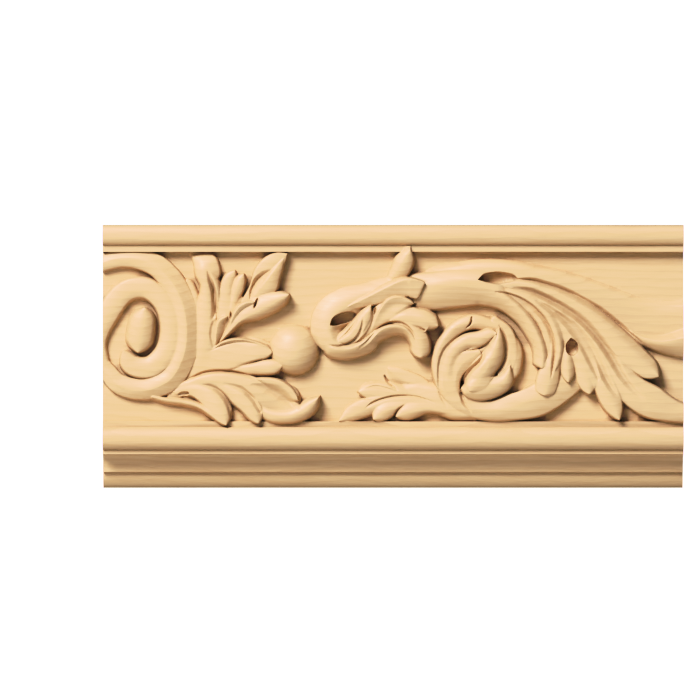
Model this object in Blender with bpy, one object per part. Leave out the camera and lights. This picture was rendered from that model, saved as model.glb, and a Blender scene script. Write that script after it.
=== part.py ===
"""Carved acanthus leaf moulding, one length of it, cut square at both ends.

It is one board: a frieze of scrolls and leaves in relief between moulded rails. X runs along its
length to the right and Z up, and the carving faces -Y. The origin is the centre of the flat back.
"""
import bpy
import bmesh
import numpy as np

MM = 0.001

# Driving dimensions
HEIGHT = 88.9 * MM
THICKNESS = 20.64 * MM
LENGTH = 196.0 * MM
GROUND = 13.9 * MM                  # from the back to the ground of the frieze

# Places on the front are given in squares of an elevation drawing, counted right and downwards
DRAWN_HEIGHT = 262.0
DRAWN_LEFT, DRAWN_TOP = 104.0, 225.25
SQUARE = HEIGHT / DRAWN_HEIGHT
DRAWN_RIGHT = DRAWN_LEFT + LENGTH / SQUARE
DRAWN_BOTTOM = DRAWN_TOP + DRAWN_HEIGHT
SIXTH = (THICKNESS - GROUND) / 6    # heights of the carving are in sixths of its full relief

# Rails: heights over the ground, and where they start and end in squares
UPPER_FILLET, UPPER_BEAD = 3.1 * MM, 2.2 * MM   # over the ground, and over the fillet
LOWER_FILLET, LOWER_BEAD = 2.2 * MM, 2.8 * MM
TOP_BEAD = (235.4, 9.9)             # middle, half width
TOP_FILLET_FOOT = 252.0
LOW_FILLET_HEAD = 420.8
LOW_BEAD = (437.4, 11.3)
LOW_FILLET_FOOT = 453.2
COVE = (17.6, 5.2 * MM)             # height in squares, depth
COVE_HEAD = 1.2 * MM
OVOLO = (15.8, 4.0 * MM)
OVOLO_HEAD = -5.6 * MM
STEP = 0.25                         # squares given to an upright face
FIELD_TOP = 250.0                   # no leaf passes higher over the upper fillet

# The berry between the leaves: middle, radius, height
BERRY = (294.5, 349.5, 25.5, 5.8)

# How finely the surface is worked
GRID = 1.5                          # squares between points of the field
SPAN_STEPS = 10                     # points of a stroke between two of its knots
ARC_STEPS = 9                       # points of a bead, cove or ovolo
TRIANGLES = 9000

# Pale bare wood
WOOD_COLOUR = (0.80, 0.56, 0.31, 1)
WOOD_ROUGHNESS = 0.5


def arc(middle, base, half, rise, start, end):
    """Points (squares, height) of part of an ellipse, between two angles in degrees."""
    turn = np.radians(np.linspace(start, end, ARC_STEPS))
    return [(middle + half * np.cos(t), base + rise * np.sin(t)) for t in turn]


def rail_profile():
    """The moulded section, from the top edge of the board to the bottom edge."""
    cove_foot = LOW_FILLET_FOOT + STEP + COVE[0]
    ovolo_head = cove_foot + STEP
    ovolo = (DRAWN_BOTTOM - ovolo_head, OVOLO[1])
    return [(DRAWN_TOP, UPPER_FILLET),
            *arc(TOP_BEAD[0], UPPER_FILLET, TOP_BEAD[1], UPPER_BEAD, 180, 0),
            (TOP_FILLET_FOOT, UPPER_FILLET), (TOP_FILLET_FOOT + STEP, 0),
            (LOW_FILLET_HEAD - STEP, 0), (LOW_FILLET_HEAD, LOWER_FILLET),
            *arc(LOW_BEAD[0], LOWER_FILLET, LOW_BEAD[1], LOWER_BEAD, 180, 0),
            (LOW_FILLET_FOOT, LOWER_FILLET),
            *arc(cove_foot, COVE_HEAD, COVE[0], COVE[1], 180, 270),
            *arc(ovolo_head, OVOLO_HEAD - ovolo[1], ovolo[0], ovolo[1], 90, 0)]


def rail_height(y):
    """Height of the rails and the bare ground, in sixths of the relief."""
    section = np.array(rail_profile())
    return np.interp(y, section[:, 0], section[:, 1]) / SIXTH


def flowing(knots, per_span):
    """Rows of a smooth curve through the knots, every column treated alike."""
    k = np.array(knots, float)
    k = np.vstack([2 * k[0] - k[1], k, 2 * k[-1] - k[-2]])
    t = np.linspace(0, 1, per_span, endpoint=False)[:, None]
    rows = []
    for a, b, c, d in zip(k[:-3], k[1:-2], k[2:-1], k[3:]):
        cubic = (3 * b - a - 3 * c + d) * t**3
        rows.append(0.5 * (2 * b + (c - a) * t + (2 * a - 5 * b + 4 * c - d) * t**2 + cubic))
    rows.append(k[-2:-1])
    return np.vstack(rows)


def rounding(travel, length, power):
    """How an end narrows over its last length: power 0.5 is round, 1 comes to a blunt point."""
    u = np.clip(travel / length, 0, 1)
    return (1 - (1 - u)**2)**power


class Carving:
    """Heights above the frieze ground, in sixths of the full relief, on a grid of drawing squares.

    x runs to the right and y downwards, as on the drawing.
    """

    def __init__(self, x, y, per_span=SPAN_STEPS):
        self.x, self.y, self.per_span = x, y, per_span
        self.h = np.repeat(rail_height(y)[:, None], len(x), 1)
        self.field = (y > FIELD_TOP)[:, None]

    def near(self, knots, root, tip):
        """The grid points beside a stroke, which side they are on (-1 left to 1 right), and its values."""
        curve = flowing(knots, self.per_span)
        run = np.append(0, np.cumsum(np.hypot(*np.diff(curve[:, :2], axis=0).T)))
        reach = curve[:, 2:4].max() + 1
        cols = slice(*np.searchsorted(self.x, [curve[:, 0].min() - reach, curve[:, 0].max() + reach]))
        rows = slice(*np.searchsorted(self.y, [curve[:, 1].min() - reach, curve[:, 1].max() + reach]))
        gx, gy = np.meshgrid(self.x[cols], self.y[rows])
        spot = np.stack([gx.ravel(), gy.ravel()], 1)
        best = np.full(len(spot), np.inf)
        where, side = np.zeros((2, len(spot)))
        for i, (a, b) in enumerate(zip(curve[:-1, :2], curve[1:, :2])):
            rel, d = spot - a, b - a
            t = np.clip(rel @ d / max(d @ d, 1e-12), 0, 1)
            far = np.hypot(*(rel - t[:, None] * d).T)
            closer = far < best
            best[closer] = far[closer]
            where[closer] = i + t[closer]
            side[closer] = d[0] * rel[closer, 1] - d[1] * rel[closer, 0]
        left, right, level, travel = (np.interp(where, np.arange(len(curve)), c).reshape(gx.shape)
                                      for c in (*curve[:, 2:].T, run))
        side = np.where(side < 0, -1, 1).reshape(gx.shape)
        half = np.where(side < 0, left, right)
        for end, gone in ((root, travel), (tip, run[-1] - travel)):
            if end:
                half = half * rounding(gone, *end)
        half = np.maximum(half, 1e-3)
        return (rows, cols), side * best.reshape(gx.shape) / half, half, level

    def strand(self, knots, bow=0.35, power=2.0, lean=0.0, edge=2.5, melt=0.15, root=None, tip=None):
        """A raised lobe or band. knots: x, y, width to the left and right of the way it runs, height.

        bow is how far the sides fall below the crest (left, right), and power how suddenly; power 0
        lets a side fade out softly. lean tips the top over. edge is the radius of its rim.
        """
        where, s, half, height = self.near(knots, root, tip)
        a = np.clip(np.abs(s), 0, 1)
        bow, power = (v if isinstance(v, tuple) else (v, v) for v in (bow, power))
        fall, rate = np.where(s < 0, *bow), np.where(s < 0, *power)
        shape = np.where(rate > 0, a**np.maximum(rate, 0.1), 0.5 - 0.5 * np.cos(np.pi * a))
        rim = np.clip((1 - a) * half / edge, 0, 1)
        new = height * (1 - fall * shape + lean * s) * np.sqrt(1 - (1 - rim)**2)
        old = self.h[where]
        k = np.clip(0.5 + 0.5 * (new - old) / melt, 0, 1)
        joined = old + (new - old) * k + melt * k * (1 - k)
        self.h[where] = np.where((a < 1) & self.field[where[0]], np.maximum(joined, old), old)

    def groove(self, knots, sharp=1.5, root=None, tip=None):
        """A cut into whatever is there: a V, or a soft hollow where sharp is 0. knots end in the depth."""
        where, s, _, depth = self.near(knots, root, tip)
        a = np.clip(np.abs(s), 0, 1)
        self.h[where] -= np.maximum(depth, 0) * ((1 - a)**sharp if sharp else 0.5 + 0.5 * np.cos(np.pi * a))

    def hole(self, knots, edge=1.6, root=None, tip=None):
        """A pierced eye, sunk to a level. knots: x, y, width left and right, level."""
        where, s, half, level = self.near(knots, root, tip)
        cut = np.clip((1 - np.abs(s)) * half / edge, 0, 1)
        cut = cut * cut * (3 - 2 * cut)
        old = self.h[where]
        self.h[where] = np.where(old > level, old + (level - old) * cut, old)

    def ball(self, x, y, radius, height):
        gx, gy = np.meshgrid(self.x, self.y)
        inside = 1 - ((gx - x)**2 + (gy - y)**2) / radius**2
        self.h = np.where(inside > 0, np.maximum(self.h, height * np.sqrt(np.abs(inside))), self.h)


def carve_sprig(c):
    """Five low leaves under the curl, springing from the foot of the scroll."""
    c.strand([(474, 416, 5, 5, 3.0), (456, 408, 13, 8, 3.0), (438, 398, 15, 14, 2.8), (418, 392, 13, 12, 2.0),
              (398, 386, 8, 8, 1.2)], bow=.15, edge=8, melt=.5, tip=(20, .7))
    c.strand([(430, 392, 6, 8, 1.3), (416, 384, 9, 10, 1.4), (401, 377, 9, 9, 1.2), (387, 368, 7, 6, .9)],
             bow=(.9, .2), power=(0, 2), tip=(12, .5))
    c.strand([(428, 397, 5, 5, 1.5), (405, 393, 8, 8, 1.9), (385, 390, 9, 9, 2.2), (358, 391.5, 8, 9, 1.8)],
             bow=(.2, .6), power=(2, 2), tip=(13, .5))
    c.strand([(448, 411, 4, 4, 2.4), (425, 403, 7, 7, 2.4), (400, 401, 8, 9, 2.4), (378, 404, 9, 10, 2.4),
              (358, 411, 9, 11, 2.6), (337.5, 421, 6, 6, 2.4)], bow=(.5, .25), tip=(18, .7))
    c.strand([(414, 402, 4, 4, 2.2), (397, 406, 7, 8, 2.8), (384, 411.5, 9, 10, 3.2), (373, 419, 7, 8, 3.0)],
             bow=.4, tip=(10, .5))
    c.strand([(450, 413, 3, 3, 2.6), (428, 408, 6, 7, 3.0), (411, 410.5, 9, 10, 3.3), (395, 416, 8, 8, 3.0)],
             bow=(.5, .3), tip=(13, .6))
    c.groove([(366, 407, 1.5, 1.5, .1), (374, 401, 1.5, 3, .9), (388, 396.5, 1.5, 3, .9),
              (402, 395, 1.5, 3, .8), (418, 396.5, 1.5, 2, .5), (434, 402, 1, 1, .1)])
    c.groove([(394, 416, 2, 2, 1.4), (398, 409, 2, 2, 1.0), (405, 404, 1, 1, .1)])
    c.groove([(366, 387.5, 1, 1, .1), (376, 386, 2, 3, .7), (388, 388.5, 2, 3, .5), (400, 393, 1, 1, 0)])
    c.groove([(358, 392, 1.5, 1.5, .5), (364, 397.5, 1.5, 1.5, .5), (372, 400, 1, 1, .1)])


def carve_left_scroll(c):
    """The scroll at the left end: two turns of a stem round a bulb."""
    c.strand([(96, 268, 8, 9, 2.6), (125, 262, 8, 10, 3.0), (155, 268, 8, 12, 3.4), (176, 287, 8, 13, 3.8),
              (187, 312, 8, 12, 4.1), (190, 338, 8, 10, 4.2), (184, 362, 9, 10, 4.2),
              (167, 382, 9, 12, 3.8), (142, 391, 9, 13, 3.4), (118, 383, 8, 11, 2.8), (104, 366, 6, 8, 2.4)],
             bow=(.25, .8), power=(2, 1.2), edge=1.6)
    c.strand([(104, 366, 6, 6, 2.0), (100, 340, 8, 8, 2.4), (110, 312, 10, 10, 2.8),
              (132, 298, 11, 11, 3.0), (155, 302, 10, 12, 3.2), (172, 320, 9, 13, 3.4),
              (176, 344, 9, 12, 3.4), (165, 366, 9, 12, 3.2), (144, 374, 8, 12, 3.0), (122, 360, 8, 8, 3.0)],
             bow=.25, tip=(14, .5))
    c.strand([(126, 362, 8, 8, 3.0), (124, 342, 11, 11, 4.4), (136, 328, 11, 11, 4.9),
              (152, 332, 9, 9, 4.7), (158, 352, 8, 8, 4.2)], bow=.5, tip=(16, .6))
    c.groove([(164, 305, 3, 2, 0), (174, 314, 3, 2, .8), (181, 325, 3, 2, .8), (184, 337, 2, 2, 0)])


def carve_rising_leaf(c):
    """The leaf that rises from the left scroll to the top rail, and its long free tongue."""
    c.strand([(203, 330, 4, 4, 1.6), (199, 312, 6, 6, 2.1), (195, 298, 6.5, 6, 2.0), (187.5, 279, 5, 6, 1.5)],
             bow=.4, melt=.5, tip=(8, .5))
    c.strand([(214, 346, 4, 5, 1.2), (222, 326, 9, 11, 2.2), (233, 306, 14, 14, 2.6), (239, 292, 14, 12, 2.2)],
             bow=.3, power=1.5, melt=.5, tip=(14, .5))
    c.strand([(224, 318, 6, 6, 2.2), (227, 302, 9, 9, 2.7), (229, 288, 9, 9, 2.8), (231, 271, 8, 8, 2.5)],
             bow=.25, melt=.6, tip=(7, .4))
    c.strand([(232, 318, 6, 6, 2.6), (238, 302, 6, 9, 3.0), (241.5, 289, 6, 8, 3.3), (244, 275, 6, 6, 3.0)],
             bow=(.35, .3), melt=.6, tip=(7, .45))
    # the lobe on the left, which dips under the upper fillet
    c.strand([(190, 388, 8, 8, .8), (200, 366, 14, 10, 1.9), (206, 342, 15, 9, 2.8), (208, 320, 14, 8, 3.1),
              (208, 303, 11, 8, 3.3), (207, 287, 7, 9.5, 3.5), (206, 276, 10.5, 16, 3.7), (205, 267, 11, 16, 3.5),
              (203, 260, 10, 14, 2.5), (201, 252, 11, 10, .6)], bow=(.5, .35), melt=.3)
    c.strand([(215, 310, 4, 5, 2.2), (217, 296, 4, 6, 2.9), (216, 284, 3.5, 6, 3.4), (211, 272, 3, 6, 3.5)],
             bow=(.3, .5), edge=3, melt=.5, tip=(8, .5))
    c.groove([(208, 270, 1, 1, 0), (211, 280, 2, 3, .9), (215, 291, 2.5, 4, 1.3), (216.5, 302, 2.5, 4.5, 1.4),
              (216, 312, 2.5, 4, 1.0), (212.5, 321, 1.5, 3, 0)], sharp=1)
    # upper right lobe: a rim that falls to a crease, and a full belly
    c.strand([(240, 318, 4, 5, 1.6), (247, 303, 6, 10, 2.6), (254, 288, 5, 14, 3.2), (263, 274, 10, 16, 3.7),
              (274, 262, 9, 12, 3.7), (288, 253.5, 3, 5, 3.3)], bow=(.1, .15), edge=2, melt=.3, tip=(9, .6))
    c.groove([(250.5, 299, 1, 2, .2), (252.5, 289, 3, 4, 1.3), (257.5, 280.5, 4, 4, 1.4),
              (264, 275, 4, 4, 1.0), (271, 270.5, 2, 3, .2)], sharp=1.2)
    c.strand([(250, 306, 5, 8, 2.4), (258, 293, 5, 12, 3.6), (266, 283, 6, 15, 4.4), (274, 272, 6, 10, 4.3),
              (285.5, 256, 3, 4, 3.4)], bow=(.6, .3), edge=3, melt=.3, tip=(14, .6))
    # the tongue, standing free of the ground, and the two folds at its root
    c.strand([(221, 341, 2, 3, 2.4), (229, 332, 5, 4, 3.2), (241, 320, 11, 5, 3.8), (256, 311, 14, 10, 4.4),
              (272, 302.5, 12, 11, 4.9), (290, 294, 5, 7, 5.1)], bow=(.35, .5), edge=3.5, melt=.3,
             tip=(10, .5))
    c.strand([(229, 331, 2, 4, 3.0), (233, 318, 2.5, 9, 3.9), (239, 308, 3, 10, 4.4), (247, 303, 3, 9, 4.7),
              (256, 302.5, 3, 5, 4.5)], bow=(.1, .6), power=(2, 1.4), edge=2.5, melt=.2, tip=(5, .5))
    c.strand([(216, 343, 2, 4, 2.6), (217, 331, 2.5, 9, 3.3), (220, 321, 3, 9, 3.7), (228, 316, 3, 5, 3.7)],
             bow=(.1, .6), power=(2, 1.4), edge=2.5, melt=.2, tip=(5, .5))
    c.hole([(254, 310, 1.6, 1.6, 2.8), (256, 304, 2, 2, 1.4), (259, 296, 1.6, 1.6, 2.4)], root=(6, 1),
           tip=(5, 1))
    c.hole([(231, 320, 1.4, 1.4, 2.4), (231.5, 315, 1.6, 1.6, 1.4), (231, 310, 1.2, 1.2, 2.4)], root=(4, 1),
           tip=(4, 1))
    c.groove([(213.5, 346, 1.5, 2, .2), (211.5, 336, 1.5, 2.5, 1.0), (212.5, 326, 1.5, 2.5, .9),
              (216, 318, 1, 1.5, .1)])


def carve_middle_lobes(c):
    """Two lobes that reach from the left scroll to the berry."""
    c.strand([(244, 341, 3, 3, .8), (256, 339.5, 3, 4, 1.2), (272, 346, 3, 4, 1.0)], bow=.4, edge=2,
             tip=(5, .5))
    c.strand([(190, 390, 10, 10, 1.0), (202, 373, 15, 10, 1.9), (220, 361, 15, 13, 2.5),
              (240, 355, 15, 12, 3.0), (257, 352.5, 11, 9, 3.7), (273, 352, 8, 7, 3.6)], bow=(.05, .15), edge=3,
             melt=.4, tip=(10, .5))
    c.strand([(213, 349, 2, 3, 2.2), (226, 341.5, 2.5, 5, 3.3), (242, 339.5, 2.5, 6, 3.8),
              (258, 343, 2.5, 6, 3.9), (271, 349, 2.5, 5, 3.7)], bow=(.2, .8), power=(2, 1.2), melt=.4,
             tip=(6, .5))
    c.strand([(222, 372, 5, 5, 1.8), (240, 369, 7, 7, 2.4), (256, 367, 8, 9, 3.2), (270, 366.5, 9, 9.5, 3.8),
              (283, 365.5, 7, 8, 3.7)], bow=.3, edge=3, melt=.8, root=(24, 1), tip=(10, .5))
    c.groove([(236, 366, 1, 1, 0), (248, 363.5, 3, 3, .4), (257, 361, 2, 2, .5), (262, 359.5, 1, 1, .3)])


def carve_low_leaf(c):
    """The leaf along the bottom rail: an arching back, a turned-up tip and three hanging lobes."""
    c.strand([(172, 394, 5, 8, 1.4), (192, 383, 6, 10, 2.8), (218, 377, 6, 14, 3.9), (244, 381, 8, 18, 4.2),
              (264, 391, 12, 18, 4.0), (282, 402, 20, 18, 3.2), (298, 413, 20, 16, 3.2)], bow=(.15, .35),
             tip=(20, .5))
    c.strand([(248, 381, 3, 5, 3.6), (266, 380, 3, 8, 4.3), (280, 383, 3.5, 9, 4.6), (291, 390, 3.5, 9, 4.5),
              (299, 400, 3, 7, 4.2)], bow=(.25, .3), melt=.9, tip=(8, .5))
    c.groove([(254, 388, 1, 1, 0), (263, 389, 3, 3, .5), (271, 395, 3, 3, .5), (277, 403, 1, 1, 0)], sharp=0)
    c.strand([(258, 406, 7, 7, 3.0), (271, 414, 7, 9, 3.9), (289, 415.5, 8, 9, 4.5),
              (303, 410.5, 9, 10, 4.9), (312, 403.5, 8, 9, 5.1), (320.5, 394.5, 4, 5, 4.9)], bow=(.35, .45),
             edge=3.5, melt=.4, tip=(14, .8))
    c.strand([(178, 390, 4, 6, 2.0), (195, 388, 9, 10, 3.1), (209, 394, 13, 13, 3.8),
              (219, 406, 13, 13, 4.2), (227, 425, 11, 10, 4.2)], bow=(.35, .25), edge=3, tip=(17, .6))
    c.strand([(164, 400, 3, 5, 2.6), (184, 401, 4, 5, 3.0), (200, 406, 5, 4, 3.4), (212, 414, 5, 4, 3.8),
              (226, 425, 4, 3, 3.8)], bow=.45, edge=3.5, melt=.5, tip=(9, .5))
    c.strand([(210, 381, 4, 4, 3.0), (228, 387, 8, 9, 3.9), (241, 396, 12, 12, 4.4),
              (251, 408, 13, 10, 4.5), (259, 423, 11, 8, 4.3)], bow=.35, edge=3, tip=(14, .5))
    c.groove([(188, 380, 2, 3, .2), (205, 372, 2, 3, .9), (225, 370.5, 2, 3, .9), (245, 374, 2, 3, .8),
              (262, 382, 2, 3, .4), (270, 388, 1, 1, 0)])
    c.groove([(200, 384, 1, 2, 0), (212, 386, 2, 4, .6), (222, 393, 2, 4, 1.0), (229, 403, 2, 4, 1.3),
              (232, 415, 1.5, 3, 1.4)])
    c.groove([(226, 383, 2, 3, .1), (242, 388, 2, 4, .7), (253, 398, 2, 4, 1.1), (261, 411, 1.5, 3, 1.2)])
    c.groove([(300, 396, 1.5, 1.5, .9), (300.5, 403, 1.5, 2, .6), (298, 410, 1, 1, 0)])
    c.hole([(177, 396, 2, 2, 1.6), (182, 393.5, 2.4, 2.4, 1.2), (190, 392.5, 2.4, 2.4, 1.2)], root=(6, 1),
           tip=(3, .5))


def carve_scroll(c):
    """The scroll at the right: stem and outer ring, a second turn, and the comma-shaped eye."""
    c.strand([(596, 352, 18, 14, 2.2), (577, 368, 18, 15, 2.8), (556, 384, 20, 15, 3.3),
              (535, 397, 20, 14, 3.8), (512, 406, 15, 14, 3.9), (490, 410.5, 11, 11.5, 3.8),
              (469, 407, 10, 12.5, 3.8), (451, 396, 9, 13, 3.9), (440, 381, 7, 12, 4.0),
              (436, 361, 6, 14, 4.1), (441, 344, 6, 13, 4.1), (453, 329, 7, 10, 4.0),
              (470, 322.5, 9, 8, 3.8), (488, 325, 8, 8, 3.6), (503, 334, 8, 8, 3.4), (513, 349, 9, 8.5, 3.3),
              (514, 364, 8, 8, 3.2), (513, 379, 6, 6, 2.8)], bow=(.35, .28), power=(2, 1.5), tip=(13, .6))
    c.strand([(476, 414, 5, 5, 2.8), (460, 402, 7, 8, 3.5), (450, 387, 9, 10, 3.9), (447, 370, 8, 9, 4.2),
              (452, 353, 9, 9, 4.5), (464, 342, 9, 9, 4.8), (479, 339, 9, 9.5, 5.0), (495.5, 332.5, 8, 7, 4.9)],
             bow=(.25, .3), melt=.5, tip=(7, .5))
    c.strand([(474, 411, 3, 3, 2.8), (463, 397, 6, 8, 3.3), (459, 380, 6, 12, 3.7), (463, 364, 7, 14, 4.1),
              (480, 352, 8, 8, 4.4)], bow=(.3, -.1), edge=2, melt=.4, tip=(10, .5))
    c.strand([(460, 389, 7, 8, 5.1), (476, 388.5, 12, 13, 5.4), (491, 386.5, 12, 12.5, 5.2),
              (504, 379.5, 9, 10, 5.0), (510, 363, 5, 4, 4.4)], bow=.35, edge=3, root=(8, .4), tip=(16, .9))
    c.strand([(498.5, 327, 3, 3, 4.4), (496.5, 341, 8.5, 8, 5.3), (492, 355, 13, 12, 5.7),
              (483, 368, 14, 13, 6.1), (475, 380, 14, 14, 5.8), (470, 390, 10, 10, 5.3)], bow=(.4, .5),
             edge=3, melt=1.2, root=(8, .6), tip=(10, .5))
    c.strand([(494, 320, 5, 5, 3.2), (506, 332, 7, 7, 3.3), (510, 348, 8, 7, 3.3), (506, 364, 9, 7, 3.3),
              (497, 376, 8, 6, 3.6)], bow=.1, melt=.5, tip=(8, .5))
    c.groove([(498.5, 325, 1, 1, .2), (503, 335, 2, 2.5, .8), (505.5, 347, 2.5, 3, 1.0), (504, 359, 3, 3, 1.0),
              (498.5, 369, 3, 3, .9), (490, 377, 1.5, 1.5, .2)], sharp=1)
    c.groove([(446, 406, 1, 1, .1), (440, 394, 2, 3, .5), (438, 378, 2, 4, .6), (439, 362, 2, 4, .6),
              (444, 349, 2, 4, .6), (454, 339, 2, 3, .5), (466, 332.5, 2, 3, .5), (480, 330, 1, 1, 0)], sharp=1)
    c.groove([(471, 317, 1.2, 1.2, 1.0), (470, 323, 1.8, 1.8, 1.4), (465.5, 328, 1, 1, .2)])
    c.groove([(506, 330, 1, 1, .1), (515, 340, 1, 2, .6), (520, 352, 1, 2, .8), (520.5, 366, 1, 2, .6)])
    c.groove([(460, 393, 2, 2, .8), (464, 403, 2.5, 2.5, .8), (471, 412, 1.5, 1.5, .1)], sharp=1)


def carve_great_leaf(c):
    """The leaf over the scroll: a broad tube that opens to the right into a fan of lobes."""
    c.strand([(440, 286, 20.5, 12, 2.4), (456, 281, 18.5, 12, 2.8), (475, 276.5, 17.5, 12, 3.1),
              (495, 274, 15.5, 12, 3.3), (514, 275, 14.5, 12, 3.4),
              (532, 277.5, 13.5, 12, 3.3), (554, 281.5, 13, 12, 3.1), (578, 290, 14.5, 15, 2.7),
              (605, 303, 17.5, 18, 2.3), (632, 316, 20, 20, 2.0), (660, 321, 20, 20, 2.0),
              (700, 318, 18, 20, 2.4)], bow=(.55, .1), edge=2)
    c.strand([(612, 321, 2, 3, 1.2), (638, 336, 5, 8, 2.8), (658, 341, 8, 12, 4.0), (680, 338, 12, 21, 4.8),
              (700, 332, 14, 25, 5.0)], bow=(.8, .7), power=(1.4, 1.8), melt=.3)
    c.strand([(496, 284, 8, 8, 3.2), (528, 294, 14, 12, 3.9), (560, 315, 22, 18, 4.0), (588, 346, 30, 26, 4.0),
              (612, 374, 26, 26, 3.8), (634, 396, 16, 16, 3.4)], bow=.1, edge=6, tip=(30, .7))
    c.strand([(490, 285, 5, 8, 3.6), (515, 294, 10, 12, 4.1), (536, 308, 12, 12, 4.1), (549, 328, 12, 12, 4.0),
              (555, 350, 12, 14, 3.9), (556, 372, 10, 12, 3.6)], bow=.1, edge=4, tip=(16, .7))
    # the tube, which runs on as the innermost band
    c.strand([(412, 291, 21, 22, 3.4), (430, 287.5, 19.5, 24, 4.3), (447, 283.5, 18, 25.5, 4.9),
              (465, 281.5, 17, 25.5, 5.25), (480, 283.5, 18, 23.5, 5.35), (493, 289.5, 14, 19.5, 5.2),
              (505, 297.5, 6.5, 15, 5.1), (516, 306.5, 6, 13.5, 5.05), (526, 317.5, 6, 12.5, 5.0),
              (534, 330, 6, 12, 5.0), (539.5, 344, 7, 10.5, 4.9), (541.5, 356, 7.5, 10.5, 4.7),
              (540.5, 368, 7, 10, 4.5)], bow=(.5, .6), power=(2, 1.7), tip=(5, .5))
    # lobes, from the top one round to the innermost
    c.strand([(486, 281, 8, 6, 3.8), (506, 283, 7, 7, 4.3), (528, 285, 6, 8, 4.4), (552, 293, 7, 9, 4.3),
              (573, 303, 9, 10, 4.3), (596, 320, 11, 13, 4.5), (618, 341, 12.5, 14, 4.7),
              (637, 359.5, 12.5, 14, 4.7), (657.5, 376.5, 10, 11, 4.5)], bow=(.45, .15), melt=.5, root=(20, 1),
             tip=(15, .7))
    c.strand([(520, 291, 4, 4, 3.0), (556, 305, 8, 8, 4.1), (584, 330, 11, 11, 4.4), (606, 359, 12, 13, 4.6),
              (628, 386, 15, 17, 4.7), (650, 401, 19, 18, 4.7), (674, 406, 16, 15, 4.5),
              (700, 404, 15, 14, 4.2)], bow=(.2, .3), melt=.9, root=(30, 1))
    c.strand([(516, 293, 4, 4, 3.0), (552, 310, 8, 8, 4.1), (576, 333, 10, 10, 4.4), (592, 358, 11, 12, 4.6),
              (604, 386, 11.5, 12.5, 4.7), (618, 420, 12, 11, 4.6)], bow=.22, melt=.9, root=(30, 1), tip=(24, .7))
    c.strand([(508, 292, 4, 4, 3.4), (532, 301, 8, 8, 4.4), (556, 317, 10, 10, 4.6), (572, 338, 10, 11, 4.7),
              (583, 362, 11, 12, 4.7), (588, 394, 12, 12, 4.5)], bow=.22, melt=.9, root=(24, 1), tip=(18, .6))
    c.strand([(496, 289, 5, 5, 4.2), (514, 294.5, 6, 6, 4.8), (533, 303, 7, 7, 5.0), (548, 317, 7, 8, 5.1),
              (556, 335, 7, 8, 5.0), (558, 352, 6, 8, 4.9), (553, 372, 7, 7, 4.5)], bow=(.4, .5), melt=.8,
             root=(16, 1), tip=(24, .7))
    c.strand([(566, 346, 5, 5, 4.2), (566, 360, 9, 8.5, 4.8), (567, 382.5, 9, 8.5, 4.8)], bow=.4, edge=3,
             melt=.3, tip=(12, .6))
    c.strand([(549, 322, 3, 3, 3.0), (553, 344, 7, 5, 4.3), (552, 360, 9, 8, 4.6), (548, 376, 13, 12, 4.7),
              (541, 395.5, 14, 12, 4.6)], bow=.25, melt=.7, tip=(9, .4))
    c.groove([(516, 279, 1, 2, .4), (532, 280.5, 3, 4, 1.2), (548, 285, 3.5, 5, 1.2), (564, 290.5, 3.5, 5, 1.2),
              (582, 300, 3.5, 5, 1.2), (600, 310.5, 3.5, 5, 1.2), (620, 326, 3, 5, 1.0), (640, 342, 1, 2, .3)],
             sharp=1.2)
    c.groove([(514, 288, 2, 3, .2), (530, 291, 4, 5, 1.0), (545, 298, 5, 5, 1.3), (562, 307, 5, 6, 1.4),
              (580, 320, 6, 6, 1.4), (597, 338, 6, 6, 1.4), (610, 357, 6, 6, 1.3), (620, 374, 5, 6, 1.0),
              (631, 388, 4, 5, .6), (643, 399, 2, 3, 0)], sharp=0)
    c.groove([(556, 312, 2, 3, .2), (572, 325, 5, 5, .8), (586, 342, 6, 6, 1.1), (597, 362, 6, 6, 1.1),
              (606, 381, 5, 5, .9), (616, 396, 3, 4, 0)], sharp=0)
    c.groove([(536, 301, 2, 3, .2), (552, 311, 4, 5, .8), (566, 324, 5, 5, .9), (580, 343, 5, 5, .9),
              (590, 362, 5, 5, .9), (597, 378, 2, 3, .3)], sharp=0)
    c.groove([(495, 292, 1, 1.5, .3), (506, 293.5, 2, 3, .9), (520, 298.5, 2, 4, 1.1), (533, 307.5, 2, 4, 1.1),
              (544, 320, 2, 4, 1.1), (551, 335, 2, 4, 1.1), (553.5, 350, 2, 4, 1.1), (552, 364, 2, 3, 1.0),
              (550, 377, 1, 1, .2)])
    c.hole([(476.5, 280, 3, 3, 2.4), (485, 277.5, 5, 5, 1.0), (497, 277.5, 6.5, 6.8, .5), (509, 277.5, 5, 5, 1.0),
            (519, 279.5, 3, 3, 2.6)], root=(10, 1), tip=(10, 1))
    c.hole([(569.5, 337.5, 5, 5, 1.8), (570.5, 345, 6.5, 6.5, .7), (571, 355.5, 6, 6, 1.8)], root=(8, .9),
           tip=(6, .5))


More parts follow.
